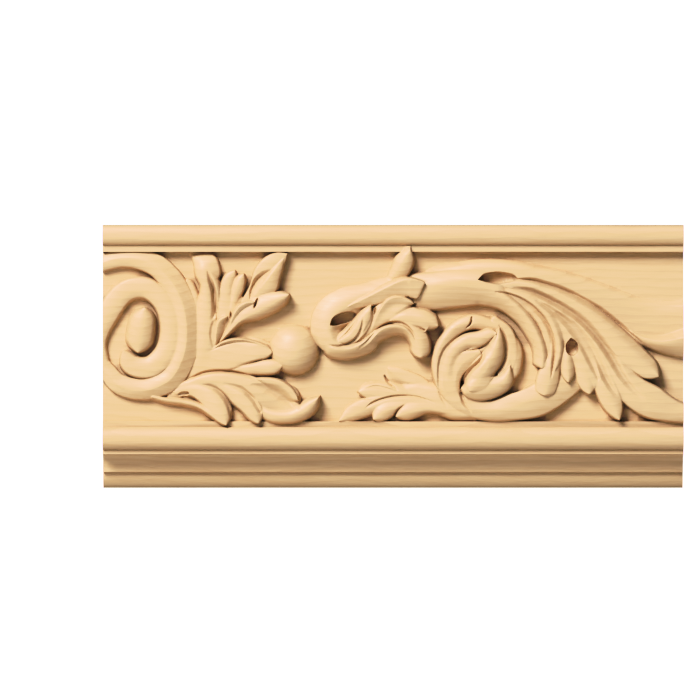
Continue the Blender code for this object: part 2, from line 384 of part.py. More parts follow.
def carve_curl_leaf(c):
    """The leaf that bends back on itself round a pierced eye, in front of the tube."""
    c.strand([(408, 283, 12, 10, 3.2), (388, 288, 22, 12, 3.8), (366, 296, 27, 14, 4.2),
              (347, 304, 29, 18, 4.5), (333, 316, 25, 20, 4.8), (329, 332, 20.5, 18, 4.9),
              (338, 346, 14, 12, 4.7), (353, 347, 10, 11, 4.6), (366, 340, 8, 13, 4.6), (378, 330, 4, 10, 4.4)],
             bow=(1, .5), power=(0, 2), edge=1, root=(14, .5), tip=(14, .6))
    c.strand([(330, 318, 17, 8, 4.2), (328, 332, 17.5, 14, 4.9), (338, 344.5, 14, 13, 4.9),
              (353, 346.5, 9, 11.5, 4.7), (366, 340, 7, 12, 4.6)],
             bow=(.9, .6), power=(1.6, 1.8), edge=2, melt=.4, root=(20, 1), tip=(12, .6))
    c.strand([(386, 286, 5, 8, 2.4), (395, 275, 8, 12, 3.8), (403, 263, 10.5, 11, 4.6),
              (410, 250, 8, 7, 4.6)], bow=(.5, .3), melt=.4, tip=(9, .5))
    # the flat leaf above the eye, its crest along its upper edge and its end nearly square
    c.strand([(340, 311, 2, 4, 4.2), (352, 304.5, 4, 7, 4.7), (368, 297, 5, 11, 5.1), (384, 289, 6, 15, 5.5),
              (400, 281.5, 5, 18, 5.7), (411, 279.5, 3, 20, 5.75), (424.5, 283, 3, 19, 5.6)], bow=(.35, .26),
             power=(1.5, 1), melt=.2, root=(16, 1), tip=(4, .5))
    # the palm from which the three lobes at the right spread
    c.strand([(350, 344, 6, 5, 3.6), (364, 333, 9, 8, 4.2), (376, 323, 13, 8, 4.4), (390, 315, 17, 10, 4.7),
              (406, 317, 14, 16, 4.9), (428, 328, 14, 16, 4.9)], bow=.2, edge=3, melt=.3, tip=(12, .5))
    c.strand([(370, 334, 2, 5, 3.8), (375, 320, 2.5, 10, 4.7), (381, 308, 2.5, 12, 5.2),
              (389, 299.5, 3, 12, 5.4), (400, 297.5, 3, 11, 5.4), (414, 303.5, 3, 6, 5.2)], bow=(.2, .55),
             power=(2, 1.2), edge=2.5, melt=.3, tip=(8, .6))
    c.strand([(388, 321, 7, 7, 4.5), (408, 317, 9, 10, 5.1), (424, 319, 10.5, 12, 5.5), (438, 326, 8, 8, 5.2)],
             bow=.35, edge=3, melt=.6, root=(14, .8), tip=(9, .5))
    c.strand([(398, 320, 6, 6, 4.6), (411, 328, 10, 10, 5.1), (419.5, 341, 11, 11, 5.4),
              (420, 357.5, 11, 11, 5.2)], bow=.3, edge=3, melt=.6, root=(12, .8), tip=(9, .4))
    # the tube on the lower side
    c.strand([(322, 340, 3, 10, 4.0), (334, 347, 3, 11.5, 4.9), (348, 348.5, 3, 11, 5.1), (360, 344.5, 4, 11, 5.2),
              (369, 338, 4, 11, 5.3), (378, 331, 4, 11, 5.4), (389, 326.5, 3.5, 10.5, 5.5),
              (400, 326.5, 3.5, 9.5, 5.5), (409, 331.5, 3.5, 8, 5.4), (414, 340, 3, 7, 5.1),
              (416, 352, 3, 5, 4.8)], bow=(.3, .6), power=(2, 1.6), edge=3, melt=.2, root=(12, 1), tip=(8, .5))
    c.hole([(330, 325, 3, 5, .6), (337, 320, 5, 5.6, .2), (345, 317.5, 5.8, 5.8, .1),
            (356, 314, 4, 5, .4)], root=(8, .8), tip=(6, .5))
    # the pointed leaf in the bend
    c.strand([(326, 345.5, 3, 3, 3.8), (340, 341, 8, 5, 4.8), (352, 333, 9, 8, 5.2),
              (362, 320, 8, 9, 5.5), (372, 304, 6, 4, 5.3)], bow=(.35, .2), melt=.2, tip=(13, .8))
    c.strand([(340, 338, 6, 8, 4.4), (354, 334, 10, 10, 4.5), (366, 320, 8, 8, 4.6), (371, 309, 4, 5, 4.6)],
             bow=.1, melt=.5, root=(12, .6), tip=(10, .8))
    c.groove([(328, 345, 1, 2, .1), (340, 345.5, 1.5, 3, .8), (351, 341.5, 1.5, 3, .9),
              (358.5, 334, 1.5, 3, .8), (362, 325, 1.5, 2.5, .6), (362.5, 318, 1, 2, .1)], sharp=1)
    c.groove([(339, 339.5, 1, 2, .1), (347, 332.5, 2, 3, .7), (353.5, 324, 2, 3, .6), (357, 317, 1, 1, 0)])
    c.groove([(360, 347, 1.5, 2, .2), (367, 341, 1.5, 2.5, .6), (373, 334, 1.5, 2.5, .7),
              (380, 327, 1.5, 2.5, .7), (390, 322.5, 1.5, 2.5, .8), (400, 322.5, 1.5, 2.5, .8),
              (408, 327, 1.5, 2.5, .7), (413, 334, 1.5, 2, .5), (416, 342, 1, 1, 0)], sharp=1)
    c.groove([(415, 304.5, 1.5, 1.5, 1.2), (410, 307.5, 2.5, 2.5, .8), (403, 311, 3, 3, .4), (392, 317, 2, 2, 0)],
             sharp=1)
    c.groove([(424, 330, 1.5, 1.5, 1.0), (417, 327, 2, 2, .5), (408, 324, 1, 1, 0)])
    c.hole([(373.5, 305, 1.5, 1.5, 2.8), (375.5, 311, 2, 2, 2.4), (373.5, 318, 1.3, 1.3, 3.2)], root=(4, 1),
           tip=(6, 1))


def carve(x, y):
    """Every stroke, the lowest leaves first, on the grid of drawing squares."""
    c = Carving(x, y)
    carve_sprig(c)
    carve_left_scroll(c)
    carve_rising_leaf(c)
    carve_middle_lobes(c)
    carve_low_leaf(c)
    c.ball(*BERRY)
    carve_scroll(c)
    carve_great_leaf(c)
    carve_curl_leaf(c)
    return np.minimum(c.h, 6)


def grid_lines():
    """Where the lines of the grid run: every break of the rails, and an even field between them."""
    x = np.linspace(DRAWN_LEFT, DRAWN_RIGHT, round((DRAWN_RIGHT - DRAWN_LEFT) / GRID) + 1)
    breaks = {round(y, 3) for y, _ in rail_profile()}
    field = np.arange(FIELD_TOP + GRID, LOW_BEAD[0] - LOW_BEAD[1], GRID)
    clear = [y for y in field if min(abs(y - b) for b in breaks) > GRID / 3]
    return x, np.array(sorted(breaks | set(clear)))


def carved_sheet():
    """The carved front as a sheet of faces that look towards -Y."""
    x, y = grid_lines()
    height = carve(x, y) * SIXTH
    across = (x - (DRAWN_LEFT + DRAWN_RIGHT) / 2) * SQUARE
    up = ((DRAWN_TOP + DRAWN_BOTTOM) / 2 - y) * SQUARE
    points = [(across[j], -GROUND - height[i, j], up[i]) for i in range(len(y)) for j in range(len(x))]
    wide = len(x)
    faces = [(k, k + wide, k + wide + 1, k + 1)
             for i in range(len(y) - 1) for k in range(i * wide, i * wide + wide - 1)]
    mesh = bpy.data.meshes.new("moulding")
    mesh.from_pydata(points, [], faces)
    return mesh


def simplified(board):
    """Let flat stretches go to fewer and larger faces, down to the number allowed."""
    reduce = board.modifiers.new("simplify", "DECIMATE")
    reduce.ratio = TRIANGLES / (2 * len(board.data.polygons))
    reduce.use_collapse_triangulate = True
    return bpy.data.meshes.new_from_object(board.evaluated_get(bpy.context.evaluated_depsgraph_get()))


def close_back(mesh):
    """Square up the cut edges and give the sheet its ends, edges and flat back."""
    bm = bmesh.new()
    bm.from_mesh(mesh)
    rim = [edge for edge in bm.edges if edge.is_boundary]
    for vert in {vert for edge in rim for vert in edge.verts}:
        for axis, half in ((0, LENGTH / 2), (2, HEIGHT / 2)):
            if abs(abs(vert.co[axis]) - half) < 0.1 * MM:
                vert.co[axis] = np.copysign(half, vert.co[axis])
    drawn = bmesh.ops.extrude_edge_only(bm, edges=rim)["geom"]
    for vert in drawn:
        if isinstance(vert, bmesh.types.BMVert):
            vert.co.y = 0
    back = [edge for edge in drawn if isinstance(edge, bmesh.types.BMEdge) and edge.is_boundary]
    bmesh.ops.contextual_create(bm, geom=back)
    bmesh.ops.recalc_face_normals(bm, faces=bm.faces)
    bmesh.ops.triangulate(bm, faces=[face for face in bm.faces if len(face.verts) > 3])
    bm.to_mesh(mesh)
    bm.free()


def pale_wood():
    material = bpy.data.materials.new("pale_wood")
    material.use_nodes = True
    shader = material.node_tree.nodes["Principled BSDF"]
    shader.inputs["Base Color"].default_value = WOOD_COLOUR
    shader.inputs["Roughness"].default_value = WOOD_ROUGHNESS
    shader.inputs["Metallic"].default_value = 0
    return material


def build():
    for old in list(bpy.data.objects):
        bpy.data.objects.remove(old, do_unlink=True)
    board = bpy.data.objects.new("moulding", carved_sheet())
    bpy.context.collection.objects.link(board)
    mesh = simplified(board)
    board.modifiers.clear()
    board.data = mesh
    mesh.name = "moulding"
    close_back(mesh)
    mesh.materials.append(pale_wood())


build()
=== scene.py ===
"""Carved acanthus leaf moulding in pale wood: the board as carved, its finish, and the studio."""

import bpy
import numpy as np
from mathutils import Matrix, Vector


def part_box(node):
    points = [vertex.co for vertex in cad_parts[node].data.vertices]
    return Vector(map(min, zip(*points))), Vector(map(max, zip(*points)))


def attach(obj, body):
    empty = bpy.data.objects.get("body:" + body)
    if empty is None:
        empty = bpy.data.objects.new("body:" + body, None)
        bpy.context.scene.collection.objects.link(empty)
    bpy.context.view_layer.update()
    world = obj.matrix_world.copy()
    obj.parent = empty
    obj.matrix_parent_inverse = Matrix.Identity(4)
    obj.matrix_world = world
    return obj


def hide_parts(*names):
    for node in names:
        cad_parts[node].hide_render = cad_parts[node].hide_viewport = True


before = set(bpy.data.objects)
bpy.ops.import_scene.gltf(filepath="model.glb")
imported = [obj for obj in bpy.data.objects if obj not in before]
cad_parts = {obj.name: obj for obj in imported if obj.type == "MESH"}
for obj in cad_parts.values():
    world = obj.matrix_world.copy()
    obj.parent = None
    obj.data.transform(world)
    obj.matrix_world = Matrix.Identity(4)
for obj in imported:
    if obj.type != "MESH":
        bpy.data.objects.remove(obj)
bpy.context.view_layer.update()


LOW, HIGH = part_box("moulding")
MM = 0.001

# The board, as large as its solid
LENGTH = HIGH[0] - LOW[0]
HEIGHT = HIGH[2] - LOW[2]
THICKNESS = -LOW[1]
GROUND = 13.9 * MM                  # from the back to the ground of the frieze
GIVEN_THICKNESS = 20.64 * MM
PARTS = 6                           # heights of the carving are in sixths of its full relief
SIXTH = (GIVEN_THICKNESS - GROUND) / PARTS

# Places on the front are given in squares of an elevation drawing, counted right and downwards
DRAWN_HEIGHT = 262.0
DRAWN_LEFT, DRAWN_TOP = 104.0, 225.25
SQUARE = HEIGHT / DRAWN_HEIGHT
DRAWN_RIGHT = DRAWN_LEFT + LENGTH / SQUARE
DRAWN_BOTTOM = DRAWN_TOP + DRAWN_HEIGHT

# Rails: heights over the ground, and where they start and end in squares
UPPER_FILLET, UPPER_BEAD = 3.1 * MM, 2.2 * MM   # over the ground, and over the fillet
LOWER_FILLET, LOWER_BEAD = 2.2 * MM, 2.8 * MM
TOP_BEAD = (235.4, 9.9)             # middle, half width
TOP_FILLET_FOOT = 252.0
LOW_FILLET_HEAD = 420.8
LOW_BEAD = (437.4, 11.3)
LOW_FILLET_FOOT = 453.2
COVE = (17.6, 5.2 * MM)             # height in squares, depth
COVE_HEAD = 1.2 * MM
OVOLO_DEPTH = 4.0 * MM
OVOLO_HEAD = -5.6 * MM
STEP = 0.25                         # squares given to an upright face
FIELD_TOP = 250.0                   # no leaf passes higher over the upper fillet

# The berry between the leaves: middle, radius, height
BERRY = (294.5, 349.5, 25.5, 5.8)

# How finely the surface is worked
GRID = 0.5                          # squares between points of the field
CLEAR = GRID / 3                    # a grid line that comes nearer than this to a break is left out
SPAN_STEPS = 14                     # points of a stroke between two of its knots
ARC_STEPS = 17                      # points of a bead, cove or ovolo
TRIANGLES = 190000
CREASE_ANGLE = np.radians(48)
NARROWEST = 1e-3                    # squares that are left of a stroke at the end of its tip
HOLE_RIM = 1.6                      # squares over which the side of a pierced eye falls
WITHIN = 0.001 * MM                 # how far the highest crest stays inside the solid
EDGE_SLACK = 0.02 * MM              # points this near a cut edge belong to it

# How far the tool left the ground uneven: its waves in squares, down and along, and their seeds
UNEVEN = 0.025 * MM
UNEVEN_WAVES = (((9, 30), 3), ((4, 9), 5))

# Painted shade, with some finish gathering in the cuts: cuts of this half width in squares and this depth
# are painted dark inside, and faces turned further aside than STEEP are painted darker, by this share, as
# shade on undercut flanks
CUT, CUT_DEPTH = 3.0, 1.5 * MM
STEEP, PAINTED_FLANK_SHARE = 0.6, 0.7
BACK_ZONE = 1 * MM                  # the back and the edges beside it have no such shade

# Pale wood: the bare wood, its fibres and flecks, the painted shade in cuts and on steep flanks, and the
# rings on a sawn end
PALE, TAWNY = (0.70, 0.505, 0.305, 1), (0.62, 0.41, 0.23, 1)
# the first colour here is painted shade: the dark brown mixed into cuts and steep flanks where shade falls
PAINTED_SHADE_COLOUR, END_GRAIN = (0.17, 0.09, 0.04, 1), (0.47, 0.29, 0.145, 1)
PAINTED_SHADE_SHARE = 0.42

# Grain: how often it changes in a metre along, through and up the board, its detail and roughness,
# then the range of it that shows and how strongly
FIBRES, FIBRE_RANGE, FIBRE_SHARE = ((90, 900, 1700), 3, 0.6), (0.3, 0.75), 0.6
FIGURE, FIGURE_RANGE, FIGURE_SHARE = ((9, 60, 70), 3, 0.55), (0.35, 0.7), 0.4
FLECKS, FLECK_RANGE, FLECK_SHARE = ((300, 1500, 1500), 1, 0.5), (0.74, 0.82), 0.35
BUMP_STRENGTH, BUMP_DEPTH = 0.35, 0.06 * MM
GLOSS_RANGE, ROUGHNESS, CUT_ROUGHNESS = (0.3, 0.7), (0.40, 0.50), 0.3

# The heart of the log lies behind and below the board; its growth rings are this far apart
HEART, RING = (0, -0.05, 0.08), 2.3 * MM
RING_WAVES = np.pi / 10 / RING      # the scale that sets waves of rings so far apart
RING_RANGE, RING_SHARE = (0.45, 1.0), 0.22
SAWN_SHARE = 0.3                    # how much more the rings show on a sawn end
SAWN_SKIN = (0.03 * MM, 0.01 * MM)  # how near the ends the wood counts as sawn: not at all, and fully
RING_WOBBLE = {"Distortion": 7.0, "Detail": 3.0, "Detail Scale": 0.2, "Detail Roughness": 0.6}

# The studio: a pale floor, soft lights (name, place, side, power), and a narrow one from behind
FLOOR_LEVEL, FLOOR_SIZE = -0.3, 6
FLOOR_DARK, FLOOR_LIGHT = (0.74, 0.71, 0.64, 1), (0.78, 0.75, 0.68, 1)
FLOOR_MOTTLE, FLOOR_ROUGHNESS = 30, 0.9
SOFT_LIGHTS = (("window_light", (-0.82, -1.25, 1.18), 0.8, 57),
               ("sheen_light", (-0.40, -1.75, 0.66), 0.3, 2))
BACK_LIGHT, BACK_POWER, BACK_RADIUS = (0.7, 1.3, -0.06), 65, 0.1
BACK_CONE, BACK_BLEND = 0.24, 0.4
AIR, AIR_SEEN = 0.05, 2             # strength of the air as light, and as the camera sees it
AIR_TINT, WHITE = (1, 0.97, 0.93, 1), (1, 1, 1, 1)

# The photographer's stand: how much is in the picture, and from how far
PICTURE_WIDTH = 236.2 * MM          # at the depth given next, in front of the back
PICTURE_DEPTH = 16 * MM
PICTURE_MIDDLE = (-14.55 * MM, 2.9 * MM)
FOCAL, FILM_WIDTH, SIGHT = 600.0, 36.0, 30

# The film: what it makes of each brightness, and then of the red, the green and the blue
FILM_WHITE = 1.8
FILM_RESPONSE = ((0.1, 0.034), (0.2, 0.108), (0.3, 0.212), (0.45, 0.412), (0.62, 0.62), (0.9, 0.865),
                 (1.2, 0.95))
FILM_RED = ((0.12, 0.105), (0.32, 0.285), (0.5, 0.47), (0.8, 0.79))
FILM_GREEN = ((0.62, 0.62), (0.95, 0.73), (1.3, 0.86))
FILM_BLUE = ((0.10, 0.11), (0.18, 0.21), (0.34, 0.37), (0.5, 0.465), (0.8, 0.61))


def arc(middle, base, half, rise, start, end):
    """Points (squares, height) of part of an ellipse, between two angles in degrees."""
    turn = np.radians(np.linspace(start, end, ARC_STEPS))
    return [(middle + half * np.cos(t), base + rise * np.sin(t)) for t in turn]


def rail_profile():
    """The moulded section, from the top edge of the board to the bottom edge."""
    cove_foot = LOW_FILLET_FOOT + STEP + COVE[0]
    ovolo_head = cove_foot + STEP
    return [(DRAWN_TOP, UPPER_FILLET),
            *arc(TOP_BEAD[0], UPPER_FILLET, TOP_BEAD[1], UPPER_BEAD, 180, 0),
            (TOP_FILLET_FOOT, UPPER_FILLET), (TOP_FILLET_FOOT + STEP, 0),
            (LOW_FILLET_HEAD - STEP, 0), (LOW_FILLET_HEAD, LOWER_FILLET),
            *arc(LOW_BEAD[0], LOWER_FILLET, LOW_BEAD[1], LOWER_BEAD, 180, 0),
            (LOW_FILLET_FOOT, LOWER_FILLET),
            *arc(cove_foot, COVE_HEAD, COVE[0], COVE[1], 180, 270),
            *arc(ovolo_head, OVOLO_HEAD - OVOLO_DEPTH, DRAWN_BOTTOM - ovolo_head, OVOLO_DEPTH, 90, 0)]


def rail_height(y):
    """Height of the rails and the bare ground, in sixths of the relief."""
    section = np.array(rail_profile())
    return np.interp(y, section[:, 0], section[:, 1]) / SIXTH


def flowing(knots):
    """Rows of a smooth curve through the knots, every column treated alike."""
    k = np.array(knots, float)
    k = np.vstack([2 * k[0] - k[1], k, 2 * k[-1] - k[-2]])
    t = np.linspace(0, 1, SPAN_STEPS, endpoint=False)[:, None]
    rows = []
    for a, b, c, d in zip(k[:-3], k[1:-2], k[2:-1], k[3:]):
        cubic = (3 * b - a - 3 * c + d) * t**3
        rows.append(0.5 * (2 * b + (c - a) * t + (2 * a - 5 * b + 4 * c - d) * t**2 + cubic))
    rows.append(k[-2:-1])
    return np.vstack(rows)


def rounding(travel, length, power):
    """How an end narrows over its last length: power 0.5 is round, 1 comes to a blunt point."""
    u = np.clip(travel / length, 0, 1)
    return (1 - (1 - u)**2)**power


class Carving:
    """Heights above the frieze ground, in sixths of the full relief, on a grid of drawing squares.

    x runs to the right and y downwards, as on the drawing.
    """

    def __init__(self, x, y):
        self.x, self.y = x, y
        self.h = np.repeat(rail_height(y)[:, None], len(x), 1)
        self.field = (y > FIELD_TOP)[:, None]

    def near(self, knots, root=None, tip=None):
        """The grid points beside a stroke, with what the stroke is there.

        That is how far aside they lie (-1 at its left edge to 1 at its right), its half width on
        that side, and the last column of the knots.
        """
        curve = flowing(knots)
        run = np.append(0, np.cumsum(np.hypot(*np.diff(curve[:, :2], axis=0).T)))
        reach = curve[:, 2:4].max() + 1
        (x_low, y_low), (x_high, y_high) = curve[:, :2].min(0) - reach, curve[:, :2].max(0) + reach
        cols = slice(*np.searchsorted(self.x, [x_low, x_high]))
        rows = slice(*np.searchsorted(self.y, [y_low, y_high]))
        gx, gy = np.meshgrid(self.x[cols], self.y[rows])
        spot = np.stack([gx.ravel(), gy.ravel()], 1)
        best = np.full(len(spot), np.inf)
        where, side = np.zeros((2, len(spot)))
        for i, (a, b) in enumerate(zip(curve[:-1, :2], curve[1:, :2])):
            rel, d = spot - a, b - a
            t = np.clip(rel @ d / (d @ d), 0, 1)
            far = np.hypot(*(rel - t[:, None] * d).T)
            closer = far < best
            best[closer] = far[closer]
            where[closer] = i + t[closer]
            side[closer] = d[0] * rel[closer, 1] - d[1] * rel[closer, 0]
        left, right, level, travel = (np.interp(where, np.arange(len(curve)), c).reshape(gx.shape)
                                      for c in (*curve[:, 2:].T, run))
        side = np.where(side < 0, -1, 1).reshape(gx.shape)
        half = np.where(side < 0, left, right)
        for end, gone in ((root, travel), (tip, run[-1] - travel)):
            if end:
                half = half * rounding(gone, *end)
        half = np.maximum(half, NARROWEST)
        return (rows, cols), side * best.reshape(gx.shape) / half, half, level

    def strand(self, knots, bow=0.35, power=2.0, edge=2.5, melt=0.15, root=None, tip=None):
        """A raised lobe or band. knots: x, y, width to the left and right of the way it runs, height.

        bow is how far the sides fall below the crest (left, right), and power how suddenly; power 0
        lets a side fade out softly. edge is the radius of its rim, and melt how softly it joins what
        is there. root and tip are the length over which an end narrows, and how roundly.
        """
        where, s, half, height = self.near(knots, root, tip)
        a = np.clip(np.abs(s), 0, 1)
        bow, power = (v if isinstance(v, tuple) else (v, v) for v in (bow, power))
        fall = np.where(s < 0, *bow)
        rate = np.where(s < 0, *power)
        shape = np.where(rate > 0, a**rate, 0.5 - 0.5 * np.cos(np.pi * a))
        rim = np.clip((1 - a) * half / edge, 0, 1)
        new = height * (1 - fall * shape) * np.sqrt(1 - (1 - rim)**2)
        old = self.h[where]
        k = np.clip(0.5 + 0.5 * (new - old) / melt, 0, 1)
        joined = old + (new - old) * k + melt * k * (1 - k)
        self.h[where] = np.where((a < 1) & self.field[where[0]], np.maximum(joined, old), old)

    def groove(self, knots, sharp=1.5):
        """A cut into whatever is there: a V, or a soft hollow where sharp is 0. knots end in the depth."""
        where, s, _, depth = self.near(knots)
        a = np.clip(np.abs(s), 0, 1)
        slope = (1 - a)**sharp if sharp else 0.5 + 0.5 * np.cos(np.pi * a)
        self.h[where] -= np.maximum(depth, 0) * slope

    def hole(self, knots, root=None, tip=None):
        """A pierced eye, sunk to a level. knots: x, y, width left and right, level."""
        where, s, half, level = self.near(knots, root, tip)
        cut = np.clip((1 - np.abs(s)) * half / HOLE_RIM, 0, 1)
        cut = cut * cut * (3 - 2 * cut)
        old = self.h[where]
        self.h[where] = np.where(old > level, old + (level - old) * cut, old)

    def ball(self, x, y, radius, height):
        """A round berry."""
        gx, gy = np.meshgrid(self.x, self.y)
        inside = 1 - ((gx - x)**2 + (gy - y)**2) / radius**2
        self.h = np.where(inside > 0, np.maximum(self.h, height * np.sqrt(np.abs(inside))), self.h)


def carve_sprig(c):
    """Five low leaves under the curl, springing from the foot of the scroll."""
    c.strand([(474, 416, 5, 5, 3.0), (456, 408, 13, 8, 3.0), (438, 398, 15, 14, 2.8),
              (418, 392, 13, 12, 2.0), (398, 386, 8, 8, 1.2)], bow=.15, edge=8, melt=.5, tip=(20, .7))
    c.strand([(430, 392, 6, 8, 1.3), (416, 384, 9, 10, 1.4), (401, 377, 9, 9, 1.2), (387, 368, 7, 6, .9)],
             bow=(.9, .2), power=(0, 2), tip=(12, .5))
    c.strand([(428, 397, 5, 5, 1.5), (405, 393, 8, 8, 1.9), (385, 390, 9, 9, 2.2), (358, 391.5, 8, 9, 1.8)],
             bow=(.2, .6), power=(2, 2), tip=(13, .5))
    c.strand([(448, 411, 4, 4, 2.4), (425, 403, 7, 7, 2.4), (400, 401, 8, 9, 2.4), (378, 404, 9, 10, 2.4),
              (358, 411, 9, 11, 2.6), (337.5, 421, 6, 6, 2.4)], bow=(.5, .25), tip=(18, .7))
    c.strand([(414, 402, 4, 4, 2.2), (397, 406, 7, 8, 2.8), (384, 411.5, 9, 10, 3.2),
              (373, 419, 7, 8, 3.0)], bow=.4, tip=(10, .5))
    c.strand([(450, 413, 3, 3, 2.6), (428, 408, 6, 7, 3.0), (411, 410.5, 9, 10, 3.3),
              (395, 416, 8, 8, 3.0)], bow=(.5, .3), tip=(13, .6))
    c.groove([(366, 407, 1.5, 1.5, .1), (374, 401, 1.5, 3, .9), (388, 396.5, 1.5, 3, .9),
              (402, 395, 1.5, 3, .8), (418, 396.5, 1.5, 2, .5), (434, 402, 1, 1, .1)])
    c.groove([(394, 416, 2, 2, 1.4), (398, 409, 2, 2, 1.0), (405, 404, 1, 1, .1)])
    c.groove([(366, 387.5, 1, 1, .1), (376, 386, 2, 3, .5), (388, 388.5, 2, 3, .4), (400, 393, 1, 1, 0)],
             sharp=0)
    c.groove([(384.5, 375.5, 1.5, 1.5, .9), (389, 382.5, 2, 2.5, 1.0), (397, 389.5, 1.5, 1.5, .2)])
    c.groove([(358, 392, 1.5, 1.5, .5), (364, 397.5, 1.5, 1.5, .5), (372, 400, 1, 1, .1)])


def carve_left_scroll(c):
    """The scroll at the left end: two turns of a stem round a bulb, the outer one bevelled outwards."""
    c.strand([(104, 366, 8, 8, 2.2), (99, 340, 9, 10, 2.5), (109, 312, 11, 13, 2.8),
              (126, 292, 12, 12, 3.0), (147, 289, 12, 11, 3.2), (164, 303, 12, 11, 3.4),
              (172, 326, 12, 12, 3.5), (168, 350, 12, 12, 3.4), (153, 366, 12, 12, 3.2),
              (134, 364, 12, 10, 3.0), (124, 350, 8, 8, 2.8)], bow=(.2, .35), edge=3, tip=(14, .5))
    c.strand([(139, 353, 11, 11, 3.2), (141, 338, 15, 15, 4.2), (144, 322, 15, 14, 4.6),
              (146, 307, 11, 11, 4.1)], bow=.45, edge=5, root=(12, .5), tip=(12, .5))
    c.strand([(92, 266, 8, 9, 2.3), (125, 258, 10, 10, 2.8), (153, 264, 12, 11, 3.2),
              (171, 280, 13, 12, 3.5), (182, 300, 13, 12, 3.8), (187, 321, 13, 12, 3.9),
              (187, 343, 13, 12, 3.9), (182, 362, 13, 12, 3.8), (170, 380, 12, 12, 3.5),
              (146, 390, 10, 12, 3.2), (120, 385, 9, 12, 2.8), (104, 366, 8, 9, 2.3)], bow=(.5, .35),
             power=(1.1, 2), edge=1.6, melt=.3)


def carve_rising_leaf(c):
    """The leaf that rises from the left scroll to the top rail, and its long free tongue."""
    c.strand([(203, 330, 4, 4, 1.6), (199, 312, 6, 6, 2.1), (195, 298, 6.5, 6, 2.0),
              (187.5, 279, 5, 6, 1.5)], bow=.4, melt=.5, tip=(8, .5))
    c.strand([(214, 346, 4, 5, 1.2), (222, 326, 9, 11, 2.2), (233, 306, 14, 14, 2.6),
              (239, 292, 14, 12, 2.2)], bow=.3, power=1.5, melt=.5, tip=(14, .5))
    c.strand([(224, 318, 6, 6, 2.2), (226, 302, 8, 8, 2.6), (227, 289, 7.5, 9, 2.8), (230, 279, 7, 8, 2.8),
              (236, 270, 4, 5, 2.5)], bow=(.2, .35), melt=.6, tip=(7, .6))
    c.strand([(231, 312, 3, 4, 2.2), (234, 300, 4, 6, 2.8), (237, 290, 6, 8, 3.3),
              (240.5, 281, 6.5, 7, 3.4), (244.5, 273.5, 4.5, 4.5, 3.1)], bow=(.4, .3), melt=.5,
             tip=(7, .5))
    # the lobe on the left, which dips under the upper fillet
    c.strand([(190, 388, 8, 8, .8), (200, 366, 14, 11, 1.9), (206, 342, 15, 13, 2.8),
              (208, 320, 14, 11, 3.1), (208, 303, 11, 8, 3.3), (207, 287, 7, 9.5, 3.5),
              (206, 276, 10.5, 16, 3.7), (205, 267, 11, 16, 3.5), (203, 260, 10, 14, 2.5),
              (201, 252, 11, 10, .6)], bow=(.5, .35), melt=.3)
    c.strand([(215, 310, 4, 5, 2.2), (217, 296, 4, 6, 2.9), (216, 284, 3.5, 6, 3.4), (211, 272, 3, 6, 3.5)],
             bow=(.3, .5), edge=3, melt=.5, tip=(8, .5))
    c.groove([(208, 270, 1, 1, 0), (211, 280, 2, 3, .9), (215, 291, 2.5, 4, 1.3),
              (216.5, 302, 2.5, 4.5, 1.4), (216, 312, 2.5, 4, 1.0), (212.5, 321, 1.5, 3, 0)], sharp=1)
    # upper right lobe: a rim that falls to a crease, and a full belly
    c.strand([(240, 318, 4, 5, 1.6), (247, 303, 6, 10, 2.6), (254, 288, 5, 14, 3.2),
              (263, 274, 10, 16, 3.7), (274, 262, 9, 12, 3.7), (288, 253.5, 3, 5, 3.3)], bow=(.1, .15),
             edge=2, melt=.3, tip=(9, .6))
    c.groove([(250.5, 299, 1, 2, .2), (252.5, 289, 3, 4, 1.3), (257.5, 280.5, 4, 4, 1.4),
              (264, 275, 4, 4, 1.0), (271, 270.5, 2, 3, .2)], sharp=1.2)
    c.strand([(250, 306, 5, 8, 2.4), (258, 293, 5, 12, 3.6), (266, 283, 6, 15, 4.4), (274, 272, 6, 10, 4.3),
              (285.5, 256, 3, 4, 3.4)], bow=(.6, .3), edge=3, melt=.3, tip=(14, .6))
    # the tongue, standing free of the ground, and the two folds at its root
    c.strand([(221, 341, 2, 3, 2.4), (229, 332, 5, 4, 3.2), (241, 320, 11, 5, 3.8), (256, 311, 14, 10, 4.4),
              (272, 302.5, 12, 11, 4.9), (290, 294, 5, 7, 5.1)], bow=(.35, .5), edge=3.5, melt=.3,
             tip=(10, .5))
    c.strand([(229, 331, 2, 4, 3.0), (233, 318, 2.5, 9, 3.9), (239, 308, 3, 10, 4.4), (247, 303, 3, 9, 4.7),
              (256, 302.5, 3, 5, 4.5)], bow=(.1, .6), power=(2, 1.4), edge=2.5, melt=.2, tip=(5, .5))
    c.strand([(216, 343, 2, 4, 2.6), (217, 331, 2.5, 9, 3.3), (220, 321, 3, 9, 3.7), (228, 316, 3, 5, 3.7)],
             bow=(.1, .6), power=(2, 1.4), edge=2.5, melt=.2, tip=(5, .5))
    c.hole([(254, 310, 1.4, 1.4, 3.2), (256, 304, 1.8, 1.8, 2.4), (259, 296, 1.4, 1.4, 3.0)], root=(6, 1),
           tip=(5, 1))
    c.hole([(231, 320, 1.4, 1.4, 2.4), (231.5, 315, 1.6, 1.6, 1.4), (231, 310, 1.2, 1.2, 2.4)], root=(4, 1),
           tip=(4, 1))
    c.groove([(214, 346, 2, 2, .1), (212, 336, 2.5, 3, .35), (213, 326, 2.5, 3, .3), (216, 318, 1, 1.5, 0)],
             sharp=0)


